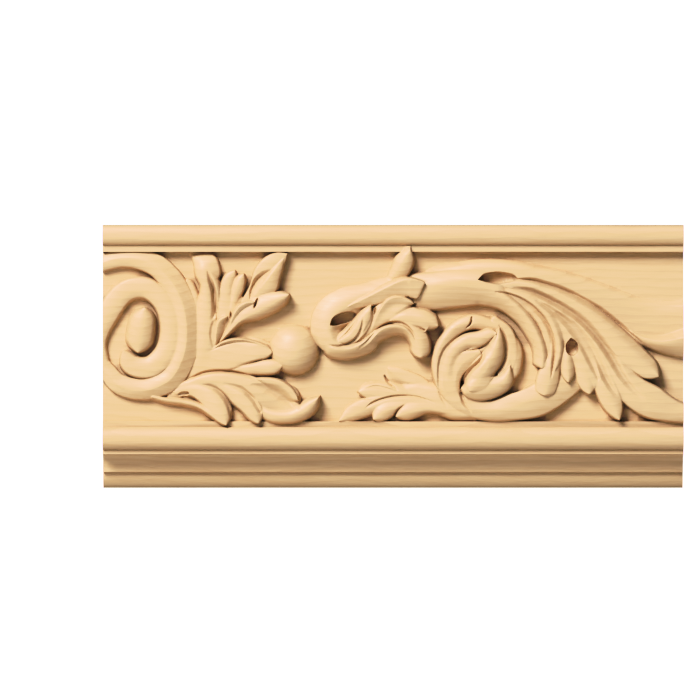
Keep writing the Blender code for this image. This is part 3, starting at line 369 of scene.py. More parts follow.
def carve_middle_lobes(c):
    """Two lobes that reach from the left scroll to the berry."""
    c.strand([(244, 341, 3, 3, .8), (256, 339.5, 3, 4, 1.2), (272, 346, 3, 4, 1.0)], bow=.4, edge=2,
             tip=(5, .5))
    c.strand([(190, 390, 10, 10, 1.0), (202, 373, 15, 10, 1.9), (220, 361, 15, 13, 2.5),
              (240, 355, 15, 12, 3.0), (257, 352.5, 11, 9, 3.7), (273, 352, 8, 7, 3.6)], bow=(.05, .15),
             edge=3, melt=.4, tip=(10, .5))
    c.strand([(213, 349, 2, 3, 2.2), (226, 341.5, 2.5, 5, 3.3), (242, 339.5, 2.5, 6, 3.8),
              (258, 343, 2.5, 6, 3.9), (271, 349, 2.5, 5, 3.7)], bow=(.2, .8), power=(2, 1.2), melt=.4,
             tip=(6, .5))
    c.strand([(222, 372, 5, 5, 1.8), (240, 369, 7, 7, 2.4), (256, 367, 8, 9, 3.2),
              (270, 366.5, 9, 9.5, 3.8), (283, 365.5, 7, 8, 3.7)], bow=.3, edge=3, melt=.8, root=(24, 1),
             tip=(10, .5))
    c.groove([(236, 366, 1, 1, 0), (248, 363.5, 3, 3, .4), (257, 361, 2, 2, .5), (262, 359.5, 1, 1, .3)])


def carve_low_leaf(c):
    """The leaf along the bottom rail: an arching back, a turned-up tip and three hanging lobes."""
    c.strand([(172, 394, 5, 8, 1.4), (192, 383, 6, 10, 2.8), (218, 377, 6, 14, 3.9), (244, 381, 8, 18, 4.2),
              (264, 391, 12, 18, 4.0), (282, 402, 20, 18, 3.2), (298, 413, 20, 16, 3.2)], bow=(.15, .35),
             tip=(20, .5))
    c.strand([(246, 380, 2, 5, 3.8), (264, 379, 3, 13, 4.4), (279, 381.5, 3.5, 17, 4.7),
              (291, 389, 3.5, 16, 4.6), (299, 400, 3, 9, 4.3)], bow=(.2, .42), power=(2, 1.2), melt=.5,
             tip=(8, .5))
    c.groove([(254, 384, 2, 4, .2), (267, 387.5, 6, 7, .9), (279, 393, 8, 8, 1.2), (289, 401, 6, 7, .9),
              (295, 409, 2, 2, .1)], sharp=0)
    c.strand([(258, 406, 7, 7, 3.0), (271, 414, 7, 9, 3.9), (289, 415.5, 8, 9, 4.5),
              (303, 410.5, 9, 10, 4.9), (312, 403.5, 8, 9, 5.1), (320.5, 394.5, 4, 5, 4.9)], bow=(.35, .45),
             edge=3.5, melt=.4, tip=(14, .8))
    c.strand([(178, 390, 4, 6, 2.0), (195, 388, 9, 10, 3.1), (209, 394, 13, 13, 3.8),
              (219, 406, 13, 13, 4.2), (227, 425, 11, 10, 4.2)], bow=(.35, .25), edge=3, tip=(17, .6))
    c.strand([(154, 396, 3, 4, 2.4), (168, 399, 3, 5, 2.7), (184, 401, 4, 5, 3.0), (200, 406, 5, 4, 3.4),
              (212, 414, 5, 4, 3.8), (226, 425, 4, 3, 3.8)], bow=.45, edge=3.5, melt=.5, tip=(9, .5))
    c.strand([(210, 381, 4, 4, 3.0), (228, 387, 8, 9, 3.9), (241, 396, 12, 12, 4.4),
              (251, 408, 13, 10, 4.5), (259, 423, 11, 8, 4.3)], bow=.35, edge=3, tip=(14, .5))
    c.groove([(188, 380, 2, 3, .2), (205, 372, 2, 3, .9), (225, 370.5, 2, 3, .9), (245, 374, 2, 3, .8),
              (262, 382, 2, 3, .4), (270, 388, 1, 1, 0)])
    c.groove([(200, 384, 1, 2, 0), (212, 386, 3, 4, .5), (222, 393, 3, 4, .7), (229, 403, 3, 4, .8),
              (232, 415, 2, 3, .8)], sharp=0)
    c.groove([(226, 383, 2, 3, .1), (242, 388, 3, 4, .5), (253, 398, 3, 4, .7), (261, 411, 2, 3, .7)],
             sharp=0)
    c.groove([(300, 396, 1.5, 1.5, .9), (300.5, 403, 1.5, 2, .6), (298, 410, 1, 1, 0)])
    c.hole([(177, 396, 2, 2, 1.6), (182, 393.5, 2.4, 2.4, 1.2), (190, 392.5, 2.4, 2.4, 1.2)], root=(6, 1),
           tip=(3, .5))


def carve_scroll(c):
    """The scroll at the right: stem and outer ring, a second turn, and the comma-shaped eye."""
    c.strand([(596, 352, 18, 14, 2.2), (577, 368, 18, 15, 2.8), (556, 384, 20, 15, 3.3),
              (535, 397, 20, 14, 3.8), (512, 406, 15, 14, 3.9), (490, 410.5, 11, 11.5, 3.8),
              (469, 407, 10, 12.5, 3.8), (451, 396, 9, 13, 3.9), (440, 381, 7, 12, 4.0),
              (436, 361, 6, 14, 4.1), (441, 344, 6, 13, 4.1), (453, 329, 7, 10, 4.0),
              (470, 322.5, 9, 8, 3.8), (488, 325, 8, 8, 3.6), (503, 334, 8, 8, 3.4),
              (513, 349, 9, 8.5, 3.3), (514, 364, 8, 8, 3.2), (513, 379, 6, 6, 2.8)], bow=(.35, .28),
             power=(2, 1.5), tip=(13, .6))
    c.strand([(476, 414, 5, 5, 2.8), (460, 402, 7, 8, 3.5), (450, 387, 9, 10, 3.9),
              (447, 370, 8, 9, 4.2), (452, 353, 9, 9, 4.5), (464, 342, 9, 9, 4.8),
              (479, 339, 9, 9.5, 5.0), (495.5, 332.5, 8, 7, 4.9)], bow=(.25, .3), melt=.5, tip=(7, .5))
    c.strand([(460, 389, 7, 8, 5.1), (476, 388.5, 12, 13, 5.4), (491, 386.5, 12, 12.5, 5.2),
              (504, 379.5, 9, 10, 5.0), (510, 363, 5, 4, 4.4)], bow=.35, edge=3, root=(8, .4), tip=(16, .9))
    c.strand([(498.5, 327, 3, 3, 4.4), (496.5, 341, 8.5, 8, 5.3), (492, 355, 13, 12, 5.7),
              (483, 368, 14, 14, 6.1), (475, 380, 14, 15, 5.6), (469, 391, 10, 10, 5.1)], bow=(.4, .5),
             edge=3, melt=2.2, root=(8, .6), tip=(10, .5))
    c.groove([(484, 351, 1.5, 1.5, .2), (479, 361, 3, 3, 1.7), (470, 370, 3, 4, 2.0),
              (463.5, 380, 3, 4, 1.8), (461.5, 391, 3, 4, 1.1), (463, 399, 1.5, 1.5, .1)], sharp=1)
    c.strand([(473, 346, 3, 3, 3.4), (480, 349, 5, 5, 3.7), (486, 345, 4, 4, 3.7)], bow=.1)
    c.strand([(474, 415, 3, 2, 2.8), (462, 402, 7, 3.5, 3.6), (455, 387, 8, 5, 3.9), (456, 373, 9, 7, 4.0),
              (463.5, 361.5, 10, 9, 4.2), (480, 352, 9, 6.5, 4.3)], bow=(.1, .2), power=(2, 1.3), edge=1.5,
             melt=.4, tip=(3, .35))
    c.strand([(494, 320, 5, 5, 3.2), (506, 332, 7, 7, 3.3), (510, 348, 8, 7, 3.3), (506, 364, 9, 7, 3.3),
              (497, 376, 8, 6, 3.6)], bow=.1, melt=.5, tip=(8, .5))
    c.groove([(498.5, 325, 1, 1, .2), (503, 335, 2, 2.5, .8), (505.5, 347, 2.5, 3, 1.0),
              (504, 359, 3, 3, 1.0), (498.5, 369, 3, 3, .9), (490, 377, 1.5, 1.5, .2)], sharp=1)
    c.groove([(446, 406, 1, 1, .1), (440, 394, 2, 3, .5), (438, 378, 2, 4, .6), (439, 362, 2, 4, .6),
              (444, 349, 2, 4, .6), (454, 339, 2, 3, .5), (466, 332.5, 2, 3, .5), (480, 330, 1, 1, 0)],
             sharp=1)
    c.groove([(471, 317, 1.2, 1.2, 1.0), (470, 323, 1.8, 1.8, 1.4), (465.5, 328, 1, 1, .2)])
    c.groove([(464, 350.5, 1, 1, .2), (477, 348.5, 1.5, 2, .7), (487, 342.5, 1.5, 2, .7),
              (495, 334.5, 1, 1, .2)])
    c.groove([(460, 393, 2, 2, .8), (464, 403, 2.5, 2.5, .8), (471, 412, 1.5, 1.5, .1)], sharp=1)


def carve_great_leaf(c):
    """The leaf over the scroll: a broad tube that opens to the right into a fan of lobes."""
    c.strand([(440, 286, 20.5, 12, 2.4), (456, 281, 18.5, 12, 2.8), (475, 276.5, 17.5, 12, 3.1),
              (495, 274, 15.5, 12, 3.3), (514, 275, 14.5, 12, 3.4),
              (532, 277.5, 13.5, 12, 3.3), (554, 281.5, 13, 12, 3.1), (578, 290, 14.5, 15, 2.7),
              (605, 303, 17.5, 18, 2.3), (632, 316, 20, 20, 2.0), (660, 321, 20, 20, 2.0),
              (700, 318, 18, 20, 2.4)], bow=(.65, .1), power=(3.2, 2), edge=5)
    c.strand([(612, 321, 2, 3, 1.2), (638, 336, 5, 8, 2.8), (658, 341, 8, 12, 4.0), (680, 338, 12, 21, 4.8),
              (700, 332, 14, 25, 5.0)], bow=(.85, .7), power=(1.3, 1.8), melt=.3)
    c.strand([(496, 284, 8, 8, 3.2), (528, 294, 14, 12, 3.9), (560, 315, 22, 18, 4.0),
              (588, 346, 30, 26, 4.0), (612, 374, 26, 26, 3.8), (634, 396, 16, 16, 3.4)], bow=.1, edge=6,
             tip=(30, .7))
    c.strand([(490, 285, 5, 8, 3.6), (515, 294, 10, 12, 4.1), (536, 308, 12, 12, 4.1),
              (549, 328, 12, 12, 4.0), (555, 350, 12, 14, 3.9), (556, 372, 10, 12, 3.6)], bow=.1, edge=4,
             tip=(16, .7))
    # the tube, which runs on as the innermost band
    c.strand([(412, 291, 18, 22, 3.4), (430, 287.5, 16, 24, 4.3), (447, 283.5, 14, 25.5, 4.9),
              (465, 281.5, 13, 25.5, 5.25), (480, 283.5, 15, 23.5, 5.35), (493, 289.5, 14, 19.5, 5.2),
              (505, 297.5, 6.5, 15, 5.1), (516, 306.5, 6, 13.5, 5.05), (526, 317.5, 6, 12.5, 5.0),
              (534, 330, 6, 12, 5.0), (539.5, 344, 7, 10.5, 4.9), (541.5, 356, 7.5, 10.5, 4.7),
              (540.5, 368, 7, 10, 4.5)], bow=(.5, .6), power=(2, 1.7), tip=(5, .5))
    # lobes, from the top one round to the innermost
    c.strand([(486, 281, 8, 6, 3.8), (506, 283, 7, 7, 4.3), (528, 285, 6, 8, 4.4), (552, 293, 7, 9, 4.3),
              (573, 303, 9, 10, 4.3), (596, 320, 11, 13, 4.5), (618, 341, 12.5, 14, 4.7),
              (637, 359.5, 12.5, 14, 4.7), (657.5, 376.5, 10, 11, 4.5)], bow=(.45, .15), melt=.5,
             root=(20, 1), tip=(15, .7))
    c.strand([(520, 291, 4, 4, 3.0), (556, 305, 8, 8, 4.1), (584, 330, 11, 11, 4.4),
              (606, 359, 12, 13, 4.6), (628, 386, 15, 17, 4.7), (650, 401.5, 17, 17.5, 4.7),
              (669, 411, 14, 11.5, 4.5), (692, 417, 11, 7, 4.2)], bow=(.2, .3), melt=.9, root=(30, 1))
    c.strand([(516, 293, 4, 4, 3.0), (552, 310, 8, 8, 4.1), (576, 333, 10, 10, 4.4),
              (592, 358, 11, 12, 4.6), (604, 386, 11.5, 12.5, 4.7), (618, 420, 12, 11, 4.6)], bow=.22,
             melt=.9, root=(30, 1), tip=(24, .7))
    c.strand([(508, 292, 4, 4, 3.4), (532, 301, 8, 8, 4.4), (556, 317, 10, 10, 4.6),
              (572, 338, 10, 11, 4.7), (583, 362, 11, 12, 4.7), (588, 394, 12, 12, 4.5)], bow=.22,
             melt=.9, root=(24, 1), tip=(18, .6))
    c.strand([(496, 289, 5, 5, 4.2), (514, 294.5, 6, 6, 4.8), (533, 303, 7, 7, 5.0), (548, 317, 7, 8, 5.1),
              (556, 335, 7, 8, 5.0), (558, 352, 6, 8, 4.9), (553, 372, 7, 7, 4.5)], bow=(.4, .5), melt=.8,
             root=(16, 1), tip=(24, .7))
    c.strand([(566, 346, 5, 5, 4.2), (566, 360, 9, 8.5, 4.8), (567, 382.5, 9, 8.5, 4.8)], bow=.4, edge=3,
             melt=.3, tip=(12, .6))
    c.strand([(549, 322, 3, 3, 3.0), (553, 344, 7, 5, 4.3), (552, 360, 9, 8, 4.6),
              (547, 377, 12.5, 12, 4.7), (543, 395, 11, 11.5, 4.6)], bow=(.3, .2), melt=.7, tip=(7, .35))
    c.groove([(516, 279, 1, 2, .4), (532, 280.5, 3, 4, 1.2), (548, 285, 3.5, 5, 1.2),
              (564, 290.5, 3.5, 5, 1.2), (582, 300, 3.5, 5, 1.2), (600, 310.5, 3.5, 5, 1.2),
              (620, 326, 3, 5, 1.0), (640, 342, 1, 2, .3)], sharp=1.2)
    c.groove([(514, 288, 2, 3, .2), (530, 291, 4, 5, 1.0), (545, 298, 5, 5, 1.3), (562, 307, 5, 6, 1.4),
              (580, 320, 6, 6, 1.4), (597, 338, 6, 6, 1.4), (610, 357, 6, 6, 1.3), (620, 374, 5, 6, 1.0),
              (631, 388, 4, 5, .6), (643, 399, 2, 3, 0)], sharp=0)
    c.groove([(556, 312, 2, 3, .2), (572, 325, 5, 5, .8), (586, 342, 6, 6, 1.1), (597, 362, 6, 6, 1.1),
              (606, 381, 5, 5, .9), (616, 396, 3, 4, 0)], sharp=0)
    c.groove([(536, 301, 2, 3, .2), (552, 311, 4, 5, .8), (566, 324, 5, 5, .9), (580, 343, 5, 5, .9),
              (590, 362, 5, 5, .9), (597, 378, 2, 3, .3)], sharp=0)
    c.groove([(495, 292, 1, 1.5, .3), (506, 293.5, 2, 3, .9), (520, 298.5, 2, 4, 1.1),
              (533, 307.5, 2, 4, 1.1), (544, 320, 2, 4, 1.1), (551, 335, 2, 4, 1.1),
              (553.5, 350, 2, 4, 1.1), (552, 364, 2, 3, 1.0), (550, 377, 1, 1, .2)])
    c.hole([(476.5, 280, 3, 3, 2.8), (485, 278, 5, 5, 1.2), (497, 278, 6.3, 6.5, .4),
            (509, 278, 4.8, 4.8, 1.0), (518.5, 279.5, 2.5, 2.5, 2.8)], root=(10, 1), tip=(9, .9))
    c.hole([(569.5, 337.5, 5, 5, 1.8), (570.5, 345, 6.5, 6.5, .7), (571, 355.5, 6, 6, 1.8)], root=(8, .9),
           tip=(6, .5))


def carve_curl_leaf(c):
    """The leaf that bends back on itself round a pierced eye, in front of the tube."""
    c.strand([(408, 283, 12, 10, 3.2), (388, 288, 22, 12, 3.8), (366, 296, 27, 14, 4.2),
              (347, 304, 29, 18, 4.5), (333, 316, 25, 20, 4.8), (329, 332, 20.5, 18, 4.9),
              (338, 346, 14, 12, 4.7), (353, 347, 10, 11, 4.6), (366, 340, 8, 13, 4.6),
              (378, 330, 4, 10, 4.4)], bow=(1, .5), power=(0, 2), edge=1, root=(14, .5), tip=(14, .6))
    c.strand([(330, 318, 17, 8, 4.2), (328, 332, 17.5, 14, 4.9), (338, 344.5, 14, 13, 4.9),
              (353, 346.5, 9, 11.5, 4.7), (366, 340, 7, 12, 4.6)],
             bow=(.9, .6), power=(1.6, 1.8), edge=2, melt=.4, root=(20, 1), tip=(12, .6))
    c.strand([(386, 286, 5, 8, 2.4), (395, 275, 8, 12, 3.8), (403, 263, 10.5, 11, 4.6),
              (410, 250, 8, 7, 4.6)], bow=(.5, .3), melt=.4, tip=(9, .5))
    # the flat leaf above the eye, its crest along its upper edge and its end nearly square
    c.strand([(340, 311, 2, 4, 4.2), (352, 304.5, 4, 7, 4.7), (368, 297, 5, 11, 5.1),
              (384, 289, 6, 15, 5.5), (400, 281.5, 5, 18, 5.7), (411, 279.5, 3, 20, 5.75),
              (424.5, 283, 3, 19, 5.6)], bow=(.35, .26), power=(1.5, 1), melt=.2, root=(16, 1),
             tip=(4, .5))
    # the palm from which the three lobes at the right spread
    c.strand([(350, 344, 6, 5, 3.6), (364, 333, 9, 8, 4.2), (376, 323, 13, 8, 4.4), (390, 315, 17, 10, 4.7),
              (406, 317, 14, 16, 4.9), (428, 328, 14, 16, 4.9)], bow=.2, edge=3, melt=.3, tip=(12, .5))
    c.strand([(370, 334, 2, 5, 3.8), (375, 320, 2.5, 10, 4.7), (381, 308, 2.5, 12, 5.2),
              (389, 299.5, 3, 12, 5.4), (400, 297.5, 3, 11, 5.4), (414, 303.5, 3, 6, 5.2)], bow=(.2, .32),
             power=(2, 1.2), edge=2.5, melt=.5, tip=(8, .6))
    c.strand([(388, 321, 7, 7, 4.5), (408, 317, 9, 10, 5.1), (424, 319, 10.5, 12, 5.5),
              (438, 326, 8, 8, 5.2)], bow=.35, edge=3, melt=.6, root=(14, .8), tip=(9, .5))
    c.strand([(398, 320, 6, 6, 4.6), (411, 328, 10, 10, 5.1), (419.5, 341, 11, 11, 5.4),
              (420, 357.5, 11, 11, 5.2)], bow=.3, edge=3, melt=.6, root=(12, .8), tip=(9, .4))
    # the tube on the lower side
    c.strand([(322, 340, 3, 10, 4.0), (334, 347, 3, 11.5, 4.9), (348, 348.5, 3, 11, 5.1),
              (360, 344.5, 4, 11, 5.2), (369, 338, 4, 11, 5.3), (378, 331, 4, 11, 5.4),
              (389, 326.5, 3.5, 10.5, 5.5), (400, 326.5, 3.5, 9.5, 5.5), (409, 331.5, 3.5, 8, 5.4),
              (414, 340, 3, 7, 5.1), (416, 352, 3, 5, 4.8)], bow=(.3, .6), power=(2, 1.6), edge=3,
             melt=.2, root=(12, 1), tip=(8, .5))
    c.hole([(330, 325, 3, 5, .6), (337, 320, 5, 5.6, .2), (345, 317.5, 5.8, 5.8, .1),
            (356, 314, 4, 5, .4)], root=(8, .8), tip=(6, .5))
    # the pointed leaf in the bend
    c.strand([(326, 345.5, 3, 3, 3.8), (340, 341, 8, 5, 4.8), (352, 333, 9, 8, 5.2),
              (362, 320, 8, 9, 5.5), (372, 304, 6, 4, 5.3)], bow=(.35, .2), melt=.2, tip=(13, .8))
    c.strand([(338, 341, 5, 6, 4.6), (353, 336, 8, 8, 4.9), (364, 323, 8, 8, 5.1), (371.5, 307, 4, 4, 5.1)],
             bow=.15, melt=1, root=(12, .6), tip=(10, .8))
    c.groove([(328, 345, 1, 2, .1), (340, 345.5, 1.5, 3, .8), (351, 341.5, 1.5, 3, .9),
              (358.5, 334, 1.5, 3, .8), (362, 325, 1.5, 2.5, .6), (362.5, 318, 1, 2, .1)], sharp=1)
    c.groove([(339, 339.5, 1, 2, .1), (347, 332.5, 2, 3, .7), (353.5, 324, 2, 3, .6), (357, 317, 1, 1, 0)])
    c.groove([(360, 347, 1.5, 2, .2), (367, 341, 1.5, 2.5, .6), (373, 334, 1.5, 2.5, .7),
              (380, 327, 1.5, 2.5, .7), (390, 322.5, 1.5, 2.5, .8), (400, 322.5, 1.5, 2.5, .8),
              (408, 327, 1.5, 2.5, .7), (413, 334, 1.5, 2, .5), (416, 342, 1, 1, 0)], sharp=1)
    c.groove([(415, 304.5, 1.5, 1.5, 1.2), (410, 307.5, 2.5, 2.5, .8), (403, 311, 3, 3, .4),
              (392, 317, 2, 2, 0)], sharp=1)
    c.groove([(424, 330, 1.5, 1.5, 1.0), (417, 327, 2, 2, .5), (408, 324, 1, 1, 0)])
    c.hole([(374, 305, 1.3, 1.3, 3.2), (375.2, 310, 1.6, 1.6, 3.0), (373.5, 316, 1.1, 1.1, 3.8)],
           root=(4, 1), tip=(5, 1))


def carve(x, y):
    """Every stroke, the lowest leaves first, on the grid of drawing squares."""
    c = Carving(x, y)
    carve_sprig(c)
    carve_left_scroll(c)
    carve_rising_leaf(c)
    carve_middle_lobes(c)
    carve_low_leaf(c)
    c.ball(*BERRY)
    carve_scroll(c)
    carve_great_leaf(c)
    carve_curl_leaf(c)
    return np.minimum(c.h, PARTS)


def spread_out(field, reach, pick):
    """A field where each point takes the highest or lowest value within a number of grid points."""
    for axis in (0, 1):
        around = np.pad(field, [(reach, reach) if a == axis else (0, 0) for a in (0, 1)], mode="edge")
        windows = np.lib.stride_tricks.sliding_window_view(around, 2 * reach + 1, axis)
        field = pick(windows, axis=-1)
    return field


def wavering(shape, spacing, seed):
    """Smooth chance unevenness between -1 and 1, with waves about as long as the spacing in grid points."""
    chance = np.random.default_rng(seed)
    field = chance.uniform(-1, 1, [int(n / s) + 4 for n, s in zip(shape, spacing)])
    for axis, (n, s) in enumerate(zip(shape, spacing)):
        at = np.arange(n) / s + 1
        low = at.astype(int)
        t = at - low
        t = (t * t * (3 - 2 * t)).reshape([-1 if a == axis else 1 for a in (0, 1)])
        field = np.take(field, low, axis) * (1 - t) + np.take(field, low + 1, axis) * t
    return field


def grid_lines():
    """Where the lines of the grid run: every break of the rails, and an even field between them."""
    x = np.linspace(DRAWN_LEFT, DRAWN_RIGHT, round((DRAWN_RIGHT - DRAWN_LEFT) / GRID) + 1)
    breaks = {round(y, 3) for y, _ in rail_profile()}
    field = np.arange(FIELD_TOP + GRID, LOW_BEAD[0] - LOW_BEAD[1], GRID)
    clear = [y for y in field if min(abs(y - b) for b in breaks) > CLEAR]
    return x, np.array(sorted(breaks | set(clear)))


def front_depths(x, y):
    """How far the front stands over the ground at each crossing of the grid lines."""
    sixths = carve(x, y)
    uneven = sum(wavering(sixths.shape, (down / GRID, along / GRID), seed)
                 for (down, along), seed in UNEVEN_WAVES)
    in_field = ((y > TOP_FILLET_FOOT + STEP) & (y < LOW_FILLET_HEAD - STEP))[:, None]
    return np.minimum(sixths * SIXTH + UNEVEN * uneven * in_field, THICKNESS - GROUND - WITHIN)


def values(mesh, kind):
    """The places or the normals of a mesh's points, a row each."""
    numbers = np.empty(3 * len(mesh.vertices))
    mesh.vertices.foreach_get(kind, numbers)
    return numbers.reshape(-1, 3)


def edit(piece):
    """Go into edit mode with this piece alone."""
    bpy.ops.object.select_all(action="DESELECT")
    piece.select_set(True)
    bpy.context.view_layer.objects.active = piece
    bpy.ops.object.mode_set(mode="EDIT")


def carved_board():
    """The board: a grid of faces, pushed to the depth that each stroke leaves, then closed behind."""
    x, y = grid_lines()
    height = front_depths(x, y)
    bpy.ops.object.select_all(action="DESELECT")
    bpy.ops.mesh.primitive_grid_add(x_subdivisions=len(x) - 1, y_subdivisions=len(y) - 1, size=1)
    board = bpy.context.active_object
    board.name = board.data.name = "carved_board"
    spots = values(board.data, "co")
    column = np.rint((spots[:, 0] + 0.5) * (len(x) - 1)).astype(int)
    row = np.rint((0.5 - spots[:, 1]) * (len(y) - 1)).astype(int)
    spots[:, 0] = (x[column] - (DRAWN_LEFT + DRAWN_RIGHT) / 2) * SQUARE
    spots[:, 1] = -GROUND - height[row, column]
    spots[:, 2] = ((DRAWN_TOP + DRAWN_BOTTOM) / 2 - y[row]) * SQUARE
    board.data.vertices.foreach_set("co", spots.ravel())
    fewer = board.modifiers.new("fewer_faces", "DECIMATE")
    fewer.ratio = TRIANGLES / (2 * len(board.data.polygons))
    fewer.use_collapse_triangulate = True
    bpy.ops.object.modifier_apply(modifier=fewer.name)
    square_up(board.data)
    close_behind(board)
    mark_finish_and_painted_shade(board.data, x, y, height)
    return board


def square_up(mesh):
    """Bring the outermost points of the front back onto the planes of the four cut edges."""
    spots = values(mesh, "co")
    for axis, half in ((0, LENGTH / 2), (2, HEIGHT / 2)):
        near = np.abs(np.abs(spots[:, axis]) - half) < EDGE_SLACK
        spots[near, axis] = np.copysign(half, spots[near, axis])
    mesh.vertices.foreach_set("co", spots.ravel())


def close_behind(board):
    """Draw the four cut edges back to the wall side and close them with the flat back."""
    edit(board)
    bpy.ops.mesh.select_mode(type="EDGE")
    bpy.ops.mesh.select_all(action="DESELECT")
    bpy.ops.mesh.select_non_manifold(extend=False, use_wire=False, use_multi_face=False,
                                     use_non_contiguous=False, use_verts=False)
    bpy.ops.mesh.extrude_edges_move()
    bpy.ops.transform.resize(value=(1, 0, 1), center_override=(0, 0, 0))
    bpy.ops.mesh.edge_face_add()
    bpy.ops.mesh.select_all(action="SELECT")
    bpy.ops.mesh.normals_make_consistent(inside=False)
    bpy.ops.object.mode_set(mode="OBJECT")
    bpy.ops.object.shade_smooth_by_angle(angle=CREASE_ANGLE)


def mark_finish_and_painted_shade(mesh, x, y, height):
    """Keep at each point painted shade: how deep it lies in a narrow cut, where some finish also gathers,
    and how steeply its face turns aside, for shade on undercut flanks.
    """
    even = np.arange(DRAWN_TOP, DRAWN_BOTTOM, GRID)
    level = np.array([np.interp(even, y, column) for column in height.T]).T
    reach = round(CUT / GRID)
    filled = spread_out(spread_out(level, reach, np.max), reach + 1, np.min)
    spots, normals = values(mesh, "co"), values(mesh, "normal")
    column = np.clip((spots[:, 0] + LENGTH / 2) / SQUARE / GRID, 0, len(x) - 1).round().astype(int)
    row = np.clip((HEIGHT / 2 - spots[:, 2]) / SQUARE / GRID, 0, len(even) - 1).round().astype(int)
    finish_and_painted_shade = np.clip((filled[row, column] + GROUND + spots[:, 1]) / CUT_DEPTH, 0, 1)
    # steep flanks are painted darker, as shade under undercut edges
    painted_flank_shade = np.clip((STEEP - np.abs(normals[:, 1])) / STEEP, 0, 1) * (spots[:, 1] < -GROUND)
    finish_and_painted_shade = np.maximum(finish_and_painted_shade, PAINTED_FLANK_SHARE * painted_flank_shade)
    finish_and_painted_shade[spots[:, 1] > -BACK_ZONE] = 0
    mesh.attributes.new("finish_and_painted_shade", "FLOAT", "POINT").data.foreach_set("value", finish_and_painted_shade)


class Socket:
    """An output of a node that can be used in sums."""

    def __init__(self, nodes, socket):
        self.nodes, self.socket = nodes, socket

    def sum(self, operation, first, second):
        return self.nodes.node("ShaderNodeMath", {"operation": operation}, {0: first, 1: second})

    def __abs__(self):
        return self.sum("ABSOLUTE", self, 0)

    def __add__(self, other):
        return self.sum("ADD", self, other)

    def __mul__(self, other):
        return self.sum("MULTIPLY", self, other)

    __radd__ = __add__
    __rmul__ = __mul__


class Nodes:
    """A tree of nodes, and the kinds of node that it is made of."""

    SHARE, FIRST, SECOND, MIXED = 0, 6, 7, 2    # the sockets of a mix of two colours

    def __init__(self, tree):
        self.tree = tree

    def node(self, kind, settings=None, sockets=None, output=0):
        """Add a node: its settings first, then the values or links of its sockets."""
        new = self.tree.nodes.new(kind)
        for name, value in (settings or {}).items():
            setattr(new, name, value)
        for name, value in (sockets or {}).items():
            self.join(value, new.inputs[name])
        return Socket(self, new.outputs[output])

    def join(self, value, socket):
        if isinstance(value, Socket):
            self.tree.links.new(value.socket, socket)
        else:
            socket.default_value = value

    def noise(self, spots, scale, detail=2, roughness=0.5):
        return self.node("ShaderNodeTexNoise", {}, {"Vector": spots, "Scale": scale, "Detail": detail,
                                                   "Roughness": roughness})

    def grain(self, spots, stretch, detail, roughness):
        """Noise that changes so many times in a metre along, through and up the board."""
        stretched = self.node("ShaderNodeMapping", {}, {"Vector": spots, "Scale": stretch})
        return self.noise(stretched, 1.0, detail, roughness)

    def between(self, share, first, second):
        """A colour on the way from the first to the second."""
        return self.node("ShaderNodeMix", {"data_type": "RGBA"},
                         {self.SHARE: share, self.FIRST: first, self.SECOND: second}, output=self.MIXED)

    def spread(self, value, low, high, out_low=0.0, out_high=1.0):
        """A value stretched from one range to another, and held within it."""
        return self.node("ShaderNodeMapRange", {"clamp": True},
                         {"Value": value, "From Min": low, "From Max": high,
                          "To Min": out_low, "To Max": out_high})


class Finish(Nodes):
    """A material and the nodes that make its surface."""

    def __init__(self, name):
        self.material = bpy.data.materials.new(name)
        self.material.use_nodes = True
        super().__init__(self.material.node_tree)

    def surface(self, **sockets):
        shader = self.tree.nodes["Principled BSDF"]
        for name, value in sockets.items():
            self.join(value, shader.inputs[name.replace("_", " ").title()])


def pale_wood():
    """Close-grained wood with an oil finish: fibres, a broad figure, flecks, rings, and painted shade in
    cuts and on steep flanks.
    """
    wood = Finish("pale_wood_carved")
    spots = wood.node("ShaderNodeTexCoord", output="Object")
    fibre = wood.grain(spots, *FIBRES)
    figure = wood.grain(spots, *FIGURE)
    fleck = wood.grain(spots, *FLECKS)
    heart = wood.node("ShaderNodeMapping", {}, {"Vector": spots, "Location": HEART})
    rings = wood.node("ShaderNodeTexWave",
                      {"wave_type": "RINGS", "rings_direction": "X", "wave_profile": "SAW"},
                      {"Vector": heart, "Scale": RING_WAVES, **RING_WOBBLE}, output="Fac")
    along = wood.node("ShaderNodeSeparateXYZ", {}, {"Vector": spots}, output="X")
    sawn = wood.spread(abs(along), LENGTH / 2 - SAWN_SKIN[0], LENGTH / 2 - SAWN_SKIN[1])
    # painted shade in cuts and on steep flanks, with some finish gathered in the cuts
    finish_and_painted_shade = wood.node("ShaderNodeAttribute", {"attribute_name": "finish_and_painted_shade"}, output="Fac")
    tone = wood.spread(fibre, *FIBRE_RANGE) * FIBRE_SHARE
    tone = tone + wood.spread(figure, *FIGURE_RANGE) * FIGURE_SHARE
    ringed = wood.spread(rings, *RING_RANGE) * (sawn * SAWN_SHARE + RING_SHARE)
    colour = wood.between(tone, PALE, TAWNY)
    colour = wood.between(wood.spread(fleck, *FLECK_RANGE) * FLECK_SHARE, colour, TAWNY)
    colour = wood.between(ringed, colour, END_GRAIN)
    # painted shade: the colour turns dark brown in cuts and on steep flanks
    colour = wood.between(finish_and_painted_shade * PAINTED_SHADE_SHARE, colour, PAINTED_SHADE_COLOUR)
    wood.surface(base_color=colour)
    wood.surface(roughness=wood.spread(fibre, *GLOSS_RANGE, *ROUGHNESS) + finish_and_painted_shade * CUT_ROUGHNESS)
    bump = wood.node("ShaderNodeBump", {}, {"Strength": BUMP_STRENGTH, "Distance": BUMP_DEPTH,
                                           "Height": fibre})
    wood.surface(normal=bump)
    return wood.material


